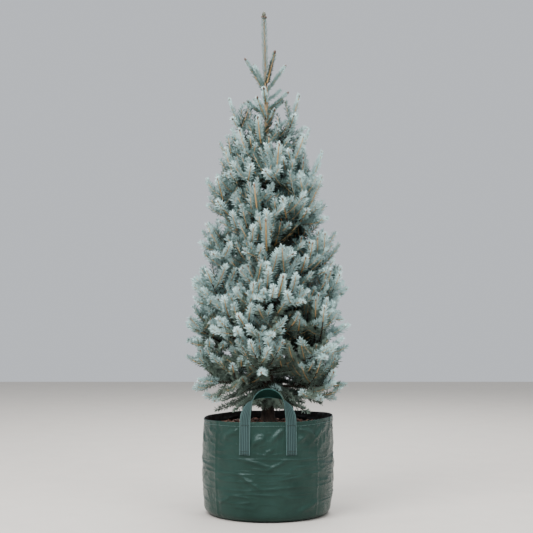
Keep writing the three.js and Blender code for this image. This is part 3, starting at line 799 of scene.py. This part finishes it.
def needle_arrays(curves, start, stop, radius, seed, length, per_metre, lean, wide, turned=0.0):
    """Needles on stretches of curves. The n-th needle of a stretch sits at an even step along it, at the
    n-th golden angle round it, squeezed towards the upper side so that the needles part below the wood, and
    turned on by an angle. Its direction is the tangent times the cosine of its lean, plus the spoke times
    the sine of it."""
    counts = np.maximum(4, curve_lengths(curves) * (stop - start) * per_metre).astype(int)
    of, n = dealt(counts)
    odd = chance(seed[of], n, 3)
    t = start[of] + (stop - start)[of] * (n + 0.3 + 0.4 * odd) / counts[of]
    tangent = tangent_on(curves[of], t)
    side, up = frames_of(tangent)
    turn = PARTING * (np.mod(n * GOLDEN + seed[of] + 1.2 * odd, 2 * np.pi) - np.pi) + turned
    spoke = up * np.cos(turn)[:, None] + side * np.sin(turn)[:, None]
    near_tip = np.clip((t - NEEDLE["closes_from"]) / NEEDLE["closes_over"], 0, 1)
    tilt = blend(lean, NEEDLE["tip_lean"], near_tip) + NEEDLE["jitter"] * (2 * odd - 1)
    tilt = np.radians(tilt)[:, None]
    direction = unit(tangent * np.cos(tilt) + spoke * np.sin(tilt) + NEEDLE["sweep"] * UP)
    size = length * (0.80 + 0.35 * chance(seed[of], n, 7)) * (1 - 0.2 * near_tip)
    across = unit(np.cross(direction, tangent)) * (wide / 2)
    thick = unit(np.cross(across, direction)) * (wide * NEEDLE["thick"])
    foot = on_curve(curves[of], t) + spoke * (radius[of] * NEEDLE["foot"])[:, None]
    middle = foot + direction * (size * NEEDLE["widest"])[:, None] + thick
    tip = foot + direction * size[:, None]
    points = np.stack([foot, middle + across, middle - across, tip], axis=1)
    corners = np.array([[0, 1, 2], [0, 3, 1], [1, 3, 2], [2, 3, 0]])
    return points.reshape(-1, 3), (corners + 4 * np.arange(len(of))[:, None, None]).reshape(-1, 3)


def signed_volume(points, triangles):
    """A sixth of the sum of a . (b x c). It is positive where the faces look outward."""
    a, b, c = (points[triangles[:, i]] for i in range(3))
    return float(np.einsum("ij,ij->i", a, np.cross(b, c)).sum() / 6)


# %% Sprays
stretches = []


def add_stretches(curves, tier, seed, *values, fullness=1.0):
    """Notes stretches of needles, to be dealt out by tier and colour. The values are the wood's radius
    there, where the stretch starts and stops, and how far out it lies: 0 at the stem, and 1 or more at the
    tips that meet the sky."""
    ones = np.ones(len(curves))
    stretches.append((curves, tier, seed, *(value * ones for value in (*values, fullness))))


seed = np.arange(len(limbs)) * 1.0
for start, stop, depth in ((0.22, 0.5, 0.1), (0.5, 0.66, 0.55), (0.66, 0.9, 0.95), (0.9, 1, 1.2)):
    given = (limbs[full], limb_t[full], seed[full] + start, limb_radius[full] * 0.6)
    add_stretches(*given, start, stop, depth, fullness=1.4)
for start, stop, depth in ((0.07, 0.7, 0.95), (0.7, 0.95, 1.2)):
    given = (limbs[~full], limb_t[~full], seed[~full] + start, 0.0016)
    add_stretches(*given, start, stop, depth, fullness=1.6)
sets = ((upper_shoots, 900.0, 0.78, 1.7), (inner_shoots, 930.0, 0.1, 1), (low_shoots, 1000.0, 0.4, 1))
for shoots, first, depth, fuller in sets:
    for start, stop, further in ((0.12, 0.55, 0.0), (0.55, 1.0, 0.3)):
        number = first + np.arange(len(shoots)) + start
        # Shoots that start high up score lighter: less painted shade where less of the crown lies above them.
        lit_near_top = 0.2 * smooth_step(1.3, 1.5, shoots[:, 0, 2])
        outer = depth + further + lit_near_top
        add_stretches(shoots, nearest_tier(shoots), number, 0.0016, start, stop, outer, fullness=fuller)


def depth_at(curves, tier, share):
    """How far out a place on each curve lies, over its tier's reach."""
    place = on_curve(curves, np.full(len(curves), share))
    return np.hypot(place[:, 0], place[:, 1]) / TIERS["reach"][tier]


for shoots, tier, number in (
    (side_shoots[kept], side_t[kept], np.arange(len(side_shoots))[kept] + 200.0),
    (twigs[keep_twig], twig_t[keep_twig], np.arange(len(twigs))[keep_twig] + 3000.0),
):
    for start, stop, extra in ((0.1, 0.5, -0.1), (0.5, 0.82, 0.0), (0.82, 1, 0.15)):
        depth = depth_at(shoots, tier, (start + stop) / 2) + extra
        add_stretches(shoots, tier, number + start, 0.0014, start, stop, depth)

# Each tier's own shade goes on top of the depth. It is partly the needles' own tone and partly painted light
# and shade, lighter or darker as the light falls on that tier. The sum and some luck pick the tone: frost
# from the first score on, silver from the second, blue from the third, and deep below it. Frost is partly a
# painted highlight and deep partly painted shade. The lowest tiers are denser, and in part olive.
TIER_TONE_AND_SHADE = np.array([-0.38, -0.30, -0.06, 0.04, -0.05, 0.02, 0.03, 0.02, -0.12])
TONE_FROM = (1.06, 0.76, 0.46)
columns = (np.concatenate(column) for column in zip(*stretches))
curves, tier, seed, radius, start, stop, outer, fullness = columns
fullness = fullness * np.where(tier > 6, 1.22, 1.0)
luck = swing(tier, np.floor(seed), 11)
score = outer + 0.2 * luck + TIER_TONE_AND_SHADE[tier]
tone = np.select([score > least for least in TONE_FROM], [0, 1, 2], 3)
is_olive = ((tier == 7) & (tone == 2)) | ((tier == 8) & (tone > 1) & (score > 0.2))
tone = np.where(is_olive, 4, tone)
print("sprays:", len(curves), "of", [int((tone == n).sum()) for n in range(len(NEEDLES))])

# %% Needle pieces
SLIM = {0: 0.74, 1: 0.74, 2: 0.88}  # shorter needles on the topmost tiers
total = 0
for n in range(len(TIERS)):
    masses = [name for name in NODES if name.startswith(f"foliage_tier_{n + 1}_")]
    for m, name in enumerate(NEEDLES):
        mine = (tier == n) & (tone == m)
        if not mine.any():
            continue
        size, lean = NEEDLE["length"] * SLIM.get(n, 1.0), NEEDLE["top_lean" if n < 2 else "lean"]
        dense = PER_METRE[name] * fullness[mine]
        given = (curves[mine], start[mine], stop[mine], radius[mine], seed[mine], size, dense, lean)
        points, triangles = needle_arrays(*given, NEEDLE["wide"])
        total += len(triangles)
        label = f"needles_tier_{n + 1}_{name}"
        make_piece(label, points, triangles, [NEEDLES[name]], masses, "needles", smooth=False)
print("needle triangles:", total, "volume sign:", signed_volume(points, triangles) > 0)

# %% [markdown]
# ## Leader and buds
# This year's leader is a straight shoot. Its needles are short and blue-grey, lie close to the wood and
# part on its front, where the tan wood shows. A sleeve with a bumpy surface could stand for them, but its
# edge would be smooth against the sky, so they grow by the same rule as the others. A bud ends the leader,
# with four small ones round its foot. Small buds end the limbs and the side shoots too.

# %% Leader
leader_z = [STEM["leader"] + 0.012, 0.5 * (STEM["leader"] + STEM["tip"]), STEM["tip"] - STEM["bud"]]
below_z = [1.545, 1.66, STEM["leader"] - 0.004]
leader = stem_place(np.array([leader_z, below_z]))
stop, radius, per_metre = np.array([[0.97, 1.0], [0.0070, 0.0110], [900, 760]])
given = (np.zeros(2), stop, radius, np.array([7.0, 8.0]), 0.0190, per_metre)
points, triangles = needle_arrays(leader, *given, lean=42, wide=0.0030, turned=-np.pi / 2)
make_piece("leader_spray", points, triangles, [NEEDLES["blue"]], ["leader_needles"], "needles", smooth=False)

# %% Buds
BUD_SIZE = {"limb": 0.0175, "side_shoot": 0.012}  # lengths in metres
BUD_RINGS, BUD_SIDES = 5, 14


def bud_paths(tips, directions, size):
    """Little spindles: rings along the direction, with the radius of a half sine that is fullest early."""
    v = np.linspace(0, 1, BUD_RINGS)
    paths = tips[:, None] + directions[:, None] * (v[:, None] - 0.35) * size[:, None, None]
    radii = size[:, None] * 0.34 * np.sin(np.pi * np.clip(v, 0.06, 0.98)) ** 0.7 * (1.15 - 0.4 * v)
    return paths, radii


shoot_ends = np.concatenate([limbs, upper_shoots, side_shoots[kept]])
tips = on_curve(shoot_ends, np.ones(len(shoot_ends)))
directions = tangent_on(shoot_ends, np.ones(len(shoot_ends)))
is_limb = np.arange(len(shoot_ends)) < len(limbs) + len(upper_shoots)
size = np.where(is_limb, BUD_SIZE["limb"], BUD_SIZE["side_shoot"])
points, triangles = tubes(*bud_paths(tips, directions, size), 6)
is_high = points[triangles[:, 0], 2] > 1.55  # the buds are darker on the topmost tiers
make_piece("shoot_buds", points, triangles, [PALE_BUD, BUD], (), "bark", face_slots=is_high)
foot = np.array([STEM["tip"] - STEM["bud"] * 0.62] + [STEM["tip"] - STEM["bud"] * 1.1] * 4)
quarter = np.radians([20, 110, 200, 290])
lean = on_circle(quarter, height=1.1)
directions = unit(np.concatenate([[UP], lean]))
size = np.array([STEM["bud"] * 1.12] + [STEM["bud"] * 0.66] * 4)
places = stem_place(foot) + np.concatenate([[[0, 0, 0]], lean * [0.006, 0.006, 0]])
points, triangles = tubes(*bud_paths(places, directions, size), BUD_SIDES)
is_top = triangles[:, 0] < BUD_RINGS * BUD_SIDES + 2
make_piece("leader_buds", points, triangles, [BUD, TOP_BUD], (), "bark", face_slots=is_top)

# %% [markdown]
# ## The planter bag
# The bag is a tube of laminated weave that is filled until it is round. A cloth simulation could crease it,
# but its folds would fall where they like. Here each fold is written down, so that it stays in its place
# and can be changed alone. The bag is one closed surface: across the flat underside, round the lower
# corner, up the wall, over the folded hem and down the black inside. The wall moves in and out by its
# folds: soft dents, level wrinkles half-way up, a fine crumple near the top, slanting pulls under the
# handles, and the sharp creases that the bag was folded along when it was flat. Each pull is a short ridge
# along a parabola.

# %% Bag shape
BAG = {"height": 0.400, "rim": 0.266, "foot": 0.262, "bulge": 0.008, "corner": 0.032, "wall": 0.0022}
BAG |= {"hem": 0.378, "crease_height": 0.194, "creases": (-140.5, -43.0, 40.0, 138.0)}
BAG |= {"hidden_below": 0.32, "hidden_radius": 0.22}
HANDLE = {"width": 0.045, "thickness": 0.003, "leg_angle": 20, "foot": 0.270, "crest": 0.116, "lean": 0.009}
LEG_STEPS = 30


def bag_radius(z):
    """A straight taper, a swelling at mid-height and a round lower corner."""
    share = z / BAG["height"]
    wall = blend(BAG["foot"], BAG["rim"], share) + BAG["bulge"] * np.sin(np.pi * np.clip(share, 0, 1))
    below = np.clip(1 - z / BAG["corner"], 0, 1)
    return wall - BAG["corner"] * (1 - np.sqrt(1 - below**2))


def ridge(distance, width):
    """A sharp fold: 1 on the line, falling off on both sides as 1 / (1 + (d/w)^2)."""
    return 1 / (1 + (distance / width) ** 2)


# Each pull: its middle along the wall from the front's middle, and its height; half its length; its slope
# and how much it curves, as height over length and over length squared; how far it stands out, and its
# width.
PULLS = [
    (-0.155, 0.354, 0.046, 0.55, 0.0, 0.0075, 0.0150),
    (-0.042, 0.326, 0.040, 0.35, -5.0, 0.0085, 0.0160),
    (0.036, 0.350, 0.034, 0.95, 0.0, 0.0080, 0.0150),
    (0.160, 0.362, 0.056, -0.55, 0.0, 0.0115, 0.0150),
    (0.134, 0.330, 0.032, 0.45, 0.0, 0.0060, 0.0110),
    (0.215, 0.340, 0.034, 0.80, 0.0, 0.0050, 0.0130),
    (0.004, 0.284, 0.022, 0.40, 0.0, 0.0045, 0.0100),
    (-0.046, 0.240, 0.066, -0.24, -1.6, 0.0052, 0.0085),
    (0.034, 0.230, 0.050, 0.50, 0.0, 0.0048, 0.0080),
    (-0.020, 0.214, 0.090, -0.06, 0.5, 0.0026, 0.0050),
    (0.150, 0.222, 0.060, 0.10, 1.0, 0.0026, 0.0055),
    (-0.068, 0.160, 0.060, -0.62, 1.5, 0.0046, 0.0080),
    (0.085, 0.176, 0.075, 0.12, 0.8, 0.0030, 0.0055),
    (0.050, 0.140, 0.085, 0.06, -0.6, 0.0028, 0.0060),
    (-0.030, 0.113, 0.080, -0.08, 0.8, 0.0026, 0.0065),
    (-0.185, 0.085, 0.038, 0.45, 0.0, 0.0040, 0.0090),
    (0.170, 0.056, 0.060, 0.32, 0.0, 0.0070, 0.0140),
    (-0.100, 0.060, 0.060, -0.10, 0.0, 0.0024, 0.0080),
]


def pulls(turn, z):
    """Ridges along short parabolas: exp(-(d/w)^2) across, with a smooth end, d being the height over the
    parabola. The same set stands on the front and on the back, and a mirrored, flatter one on both
    sides."""
    total = np.zeros_like(z)
    for facing, mirrored, share in ((-90, 1, 1.0), (0, -1, 0.4), (90, 1, 1.0), (180, -1, 0.4)):
        beside = turn_from(turn, facing) * BAG["rim"] * mirrored
        for middle, level, half, slope, curve, height, width in PULLS:
            past = beside - middle
            ends = 1 - smooth_step(0.35 * half, half, abs(past))
            across = z - level - slope * past - curve * past**2
            total += share * height * ends * np.exp(-((across / width) ** 2))
    return total


# How often each noise on the wall changes round the bag and up it, and where it starts. Depths are in metres.
NOISES = {"dent": (1.9, 7, 0), "small_dent": (7, 26, 3)}
NOISES |= {"level": (2.2, 34, 5), "fine_level": (3.4, 75, 40), "crumple": (11, 44, 12)}
DEPTH = {"dent": 0.0034, "small_dent": 0.0012, "level": 0.0030, "fine_level": 0.0019}
DEPTH |= {"crumple": 0.0005, "high_crumple": 0.0020, "crease": 0.0024, "hem": 0.0010}


def folds(turn, z):
    """How far the wall stands out, in metres, as a sum of its folds. A sharp wrinkle is a power of one
    minus a noise's size, less an even part."""
    round_place, up_place = on_circle(turn), z[..., None] * UP
    places = [round_place * around + up_place * up + start for around, up, start in NOISES.values()]
    dents = DEPTH["dent"] * layered_noise(places[0], 2)
    small_dents = DEPTH["small_dent"] * soft_noise(places[1])
    level, fine_level, crumple = (1 - abs(soft_noise(place)) for place in places[2:])
    middle = smooth_step(0.03, 0.09, z) * (1 - smooth_step(0.25, 0.32, z))
    wrinkles = DEPTH["level"] * (level**4 - 0.3) + DEPTH["fine_level"] * (fine_level**3 - 0.3)
    crumpled = DEPTH["crumple"] + DEPTH["high_crumple"] * smooth_step(0.25, 0.31, z)
    wrinkles = middle * wrinkles + crumpled * (crumple**3 - 0.3)
    sharp = DEPTH["crease"] * ridge(z - BAG["crease_height"] - 0.002 * np.sin(3 * turn), 0.0024)
    sharp = sharp * (0.35 + 0.65 * smooth_step(-0.4, 0.5, soft_noise(round_place * 4 + 9)))
    for degrees in BAG["creases"]:
        off = turn_from(turn, degrees) * BAG["rim"]
        sharp = sharp + 0.0018 * ridge(off, 0.0030) - 0.0010 * ridge(off - 0.012, 0.008)
    hem = DEPTH["hem"] * smooth_step(BAG["hem"] - 0.0015, BAG["hem"] + 0.0005, z)
    below_hem = 1 - smooth_step(BAG["hem"] - 0.012, BAG["hem"], z)
    return dents + wrinkles + sharp + (small_dents + pulls(turn, z)) * below_hem + hem


def calm_near_handles(turn, z):
    """1 on the free wall and 0.2 under the sewn straps, so that the strap lies flat on it."""
    calm = np.ones_like(z)
    for middle in (-90, 90):
        for side in (-1, 1):
            off = abs(turn_from(turn, middle + side * HANDLE["leg_angle"])) * BAG["rim"]
            near = 1 - smooth_step(0.024, 0.034, off)
            calm = calm - 0.8 * near * smooth_step(0.25, 0.275, z)
    return np.clip(calm, 0.2, 1)


def wall_radius(turn, z):
    return bag_radius(z) + folds(turn, z) * calm_near_handles(turn, z) * smooth_step(0.0, 0.02, z)


def rim_shift(turn, z):
    """The rim waves by a few millimetres, and is lower on its left."""
    wave = 0.005 * np.cos(turn) + 0.0015 * np.sin(3 * turn + 1) + 0.001 * np.sin(7 * turn)
    return wave * smooth_step(0.3, 0.4, z)


# %% Bag mesh
AROUND = 440
turn = full_turn(AROUND)
corner = BAG["corner"] * (1 - np.cos(np.linspace(0, np.pi / 2, 9)))
wall_z = np.concatenate([corner, np.linspace(0.038, BAG["height"], 150)])
inside_z = np.concatenate([np.linspace(BAG["height"], 0.33, 24), [0.315, 0.2, 0.04, 0.01]])
v, around = np.meshgrid(wall_z, turn, indexing="ij")
outside = np.stack([wall_radius(around, v), v + rim_shift(around, v)], axis=-1)
v, around = np.meshgrid(inside_z, turn, indexing="ij")
inner = wall_radius(around, v) - BAG["wall"]
inner = np.where(v < BAG["hidden_below"], BAG["hidden_radius"], inner)  # out of sight in the mix
inside = np.stack([inner, v + rim_shift(around, v)], axis=-1)
crown = (outside[-1:] + inside[:1]) / 2 + [0, 0.0009]
profile = np.concatenate([outside[:1] * [0.5, 1], outside, crown, inside])
points, triangles = capped_grid(on_circle(turn, *np.moveaxis(profile, -1, 0)))
is_inside = triangles.min(axis=1) >= (len(wall_z) + 1) * AROUND
is_inside |= (triangles == len(profile) * AROUND + 1).any(axis=1)
uv = np.stack([np.arctan2(points[:, 1], points[:, 0]) * BAG["rim"], points[:, 2]], axis=-1)
faces = {"face_slots": is_inside, "uv": uv}
make_piece("woven_bag", points, triangles, [LAMINATE, LINING], ["planter_bag"], "bag_fabric", **faces)

# %% [markdown]
# ## Handles
# Each handle is one length of ribbed webbing. Its two ends are sewn flat on the wall, and the loop between
# them stands above the rim and leans out, with its upper edge turned to the front. A curve object could
# carry the strap, but its twist is hard to steer. So a flat section with ribs is carried along the path
# with a width direction of its own at each step. Short stitches hold its ends.

# %% Strap path


def strap_path(steps):
    """Places, tangents and width directions from one sewn end over a half ellipse to the other."""
    leg = np.radians(HANDLE["leg_angle"])
    seat = 0.0003 + HANDLE["thickness"] / 2
    rim = bag_radius(np.array(BAG["height"])) + seat
    half = rim * np.sin(leg)
    leg_z = np.linspace(HANDLE["foot"], BAG["height"], LEG_STEPS, endpoint=False)
    out = bag_radius(leg_z) + seat
    left = np.stack([-out * np.sin(leg), -out * np.cos(leg), leg_z], axis=-1)
    turn = np.pi * (1 - np.linspace(0, 1, steps))
    y = -rim * np.cos(leg) - HANDLE["lean"] * np.sin(turn)
    loop = np.stack([half * np.cos(turn), y, BAG["height"] + HANDLE["crest"] * np.sin(turn)], axis=-1)
    right = left[::-1] * [-1.0, 1.0, 1.0]
    turns = np.concatenate([np.full(len(left), np.pi), turn, np.zeros(len(right))])
    path = np.concatenate([left, loop, right])
    rise = np.where(turns == np.pi, 1.0, np.where(turns == 0, -1.0, -HANDLE["crest"] * np.cos(turns)))
    run = np.where((turns == np.pi) | (turns == 0), 0.0, half * np.sin(turns))
    tangent = unit(np.stack([run, np.zeros_like(run), rise], axis=-1))
    tilt = np.radians(-20 - 126 * np.sin(turns) ** 2)
    inward = np.stack([tangent[:, 2], np.zeros_like(run), -tangent[:, 0]], axis=-1)
    width = inward * np.cos(tilt)[:, None] + np.sin(tilt)[:, None] * np.array([0.0, 1.0, 0.0])
    return path, tangent, width


def strap_section(columns):
    """A flat loop of points (across, out): a rounded strip whose two broad faces carry six shallow ribs."""
    u = 2 * np.pi * np.arange(columns) / columns
    across = np.sign(np.cos(u)) * abs(np.cos(u)) ** 0.35
    out = np.sign(np.sin(u)) * abs(np.sin(u)) ** 0.35
    ribs = 0.14 * np.cos(6 * np.pi * across)
    return across * HANDLE["width"] / 2, out * (0.84 + ribs) * HANDLE["thickness"] / 2


path, tangent, width = strap_path(110)
across, out = strap_section(108)
normal = unit(np.cross(width, tangent))
rings = path[:, None] + width[:, None] * across[:, None] + normal[:, None] * out[:, None]
run = np.concatenate([[0], np.cumsum(np.linalg.norm(np.diff(path, axis=0), axis=1))])
uv_grid = np.stack(np.broadcast_arrays(across[None, :], run[:, None]), axis=-1)
points, triangles = capped_grid(rings)
if signed_volume(points, triangles) < 0:
    triangles = triangles[:, ::-1]
uv = np.concatenate([uv_grid.reshape(-1, 2), uv_grid[[0, -1]].mean(axis=1)])
# The inner face takes the darker webbing, a painted shade.
column = triangles % len(across)
shaded_inner_face = (column.mean(axis=1) > len(across) / 2) & (triangles.max(axis=1) < len(path) * len(across))
given = {"materials": [WEBBING, SHADED_STRAP_INSIDE], "slot": "webbing", "face_slots": shaded_inner_face, "uv": uv}
for side, facing in (("front", 1.0), ("back", -1.0)):
    where = points * [facing, facing, 1.0]
    make_piece(f"strap_{side}", where, triangles, replaced=[f"handle_{side}"], **given)

# %% [markdown]
# ## Stitches
# A seam could be painted on as a row of dashes, but thread stands proud and catches the light. So a stitch
# is a short rounded bar of thread. A line of them follows the hem all the way round the bag, and a narrow
# box of them holds the end of each strap.

# %% Stitches


def stitch_bars(starts, ends, radius=0.0006):
    """Bars from start to end points: four rings, thin at both ends, all as one set of tubes."""
    v = np.array([0, 0.2, 0.8, 1.0])
    paths = starts[:, None] + (ends - starts)[:, None] * v[:, None]
    radii = np.tile(radius * np.array([0.45, 1, 1, 0.45]), (len(starts), 1))
    return tubes(paths, radii, 6)


def wall_points(turn, z, out):
    """Places on the bag's wall, a little way out."""
    return on_circle(turn, wall_radius(turn, z) + out, z + rim_shift(turn, z))


begin = full_turn(260)
level = np.full_like(begin, BAG["hem"] + 0.006)
hem = stitch_bars(wall_points(begin, level, 0.0003), wall_points(begin + 0.0165, level, 0.0003))
make_piece("hem_stitches", *hem, [THREAD], (), "webbing")


def strap_stitches():
    """A box of stitches near each strap end: two runs up the strap's edges and three across it."""
    starts, ends = [], []
    edge, low, high = 0.0180, 0.0055, 0.118
    up_runs = np.arange(low, high, 0.006)
    across_runs = np.arange(-edge, edge - 0.002, 0.0052)
    rows = [(side * edge, s, side * edge, s + 0.0045) for side in (-1, 1) for s in up_runs]
    rows += [(c, s, c + 0.0050, s) for s in (low, low + 0.01, high) for c in across_runs]
    for c0, s0, c1, s1 in rows:
        for store, c, s in ((starts, c0, s0), (ends, c1, s1)):
            n = int(round(s / (BAG["height"] - HANDLE["foot"]) * LEG_STEPS))
            place = path[n] + width[n] * c
            place = place + 0.0016 * normal[n] * np.sign(np.dot(normal[n], place * [1, 1, 0]))
            store.append(place * [1, 1, 0] + [0, 0, HANDLE["foot"] + s])
    bars = np.array([starts, ends])
    for mirror in ([-1, 1, 1], [1, -1, 1]):
        bars = np.concatenate([bars, bars * mirror], axis=1)
    return bars


make_piece("strap_stitches", *stitch_bars(*strap_stitches(), 0.0014), [DARK_THREAD], (), "webbing")

# %% [markdown]
# ## Potting mix
# The fill is a low mound of dark mix under a layer of bark chips. Chips could be dropped on it in a
# simulation, but they lie half hidden below the shoots, so chance places them as well. The mound is a
# turned surface with noise on it. A chip is a small bent slab of eight corners, and several hundred of them
# lie scattered in every direction.

# %% Potting mix
MOUND = {"middle": 0.366, "edge": 0.350, "flat": 0.070, "wall": 0.0035}


def mound_height(radius):
    """From the flat middle down to the edge by a smooth step."""
    return blend(MOUND["middle"], MOUND["edge"], smooth_step(MOUND["flat"], 0.255, radius))


share, around = np.meshgrid(np.linspace(0.015, 1, 60), full_turn(160), indexing="ij")
r = share * (wall_radius(around, np.full_like(around, 0.35)) - MOUND["wall"])
surface = on_circle(around, r, mound_height(r))
near_stem = smooth_step(0.03, 0.06, r)
surface[..., 2] += 0.004 * near_stem * layered_noise(surface * [60, 60, 0])
under = surface[-1:] * [0.96, 0.96, 0] + [0, 0, 0.335]
points, triangles = capped_grid(np.concatenate([surface, under])[::-1])
make_piece("mix_surface", points, triangles, [SOIL], ["potting_mix"], "potting_mix")


# The least length, width and thickness of a chip, each with what chance adds to it at most.
CHIP = ((0.010, 0.016), (0.004, 0.006), (0.0012, 0.002))


def chips(count, seed):
    """Bent slabs: eight corners each, with sizes, places and turns by chance, laid on the mound."""
    n = np.arange(count, dtype=float)
    draw = [chance(seed, n, use) for use in range(8)]
    size = np.stack([least + more * draw[m + 1] for m, (least, more) in enumerate(CHIP)], axis=-1)
    radius = 0.035 + 0.202 * np.sqrt(draw[4])
    place = on_circle(2 * np.pi * draw[5], radius, mound_height(radius) + 0.004)
    place[:, 2] += 0.006 * draw[6]
    heading, tilt = 2 * np.pi * draw[7], 0.5 * swing(seed, n, 8)
    forward = on_circle(heading, np.cos(tilt), np.sin(tilt))
    axes = (forward, *frames_of(forward))
    corner = np.array([[x, y, z] for z in (-1, 1) for x, y in ((-1, -1), (1, -1), (1, 1), (-1, 1))])
    offset = corner * size[:, None] * (1 + 0.3 * swing(seed, n[:, None], 20 + np.arange(8)))[..., None]
    points = place[:, None] + sum(axis[:, None] * offset[..., [m]] for m, axis in enumerate(axes))
    quads = [[0, 3, 2, 1], [4, 5, 6, 7], [0, 1, 5, 4], [1, 2, 6, 5], [2, 3, 7, 6], [3, 0, 4, 7]]
    one = np.array([[q[0], q[a], q[b]] for q in quads for a, b in ((1, 2), (2, 3))])
    triangles = (one + 8 * np.arange(count)[:, None, None]).reshape(-1, 3)
    points = points.reshape(-1, 3)
    return points, triangles if signed_volume(points, triangles) > 0 else triangles[:, ::-1]


for n, (count, material) in enumerate(zip((420, 380, 120), MULCH)):
    make_piece(f"bark_chips_{n + 1}", *chips(count, 31.0 + n), [material], (), "potting_mix", smooth=False)

# %% [markdown]
# ## Floor
# A plain pale floor, which isn't part of the object. It is one square.

# %% Floor
half = 8.0
mesh = bpy.data.meshes.new("floor")
mesh.from_pydata([(-half, -half, 0), (half, -half, 0), (half, half, 0), (-half, half, 0)], [], [(0, 1, 2, 3)])
mesh.materials.append(FLOOR)
floor = bpy.data.objects.new("floor", mesh)
bpy.context.collection.objects.link(floor)
print("floor:", 2 * half, "m wide")
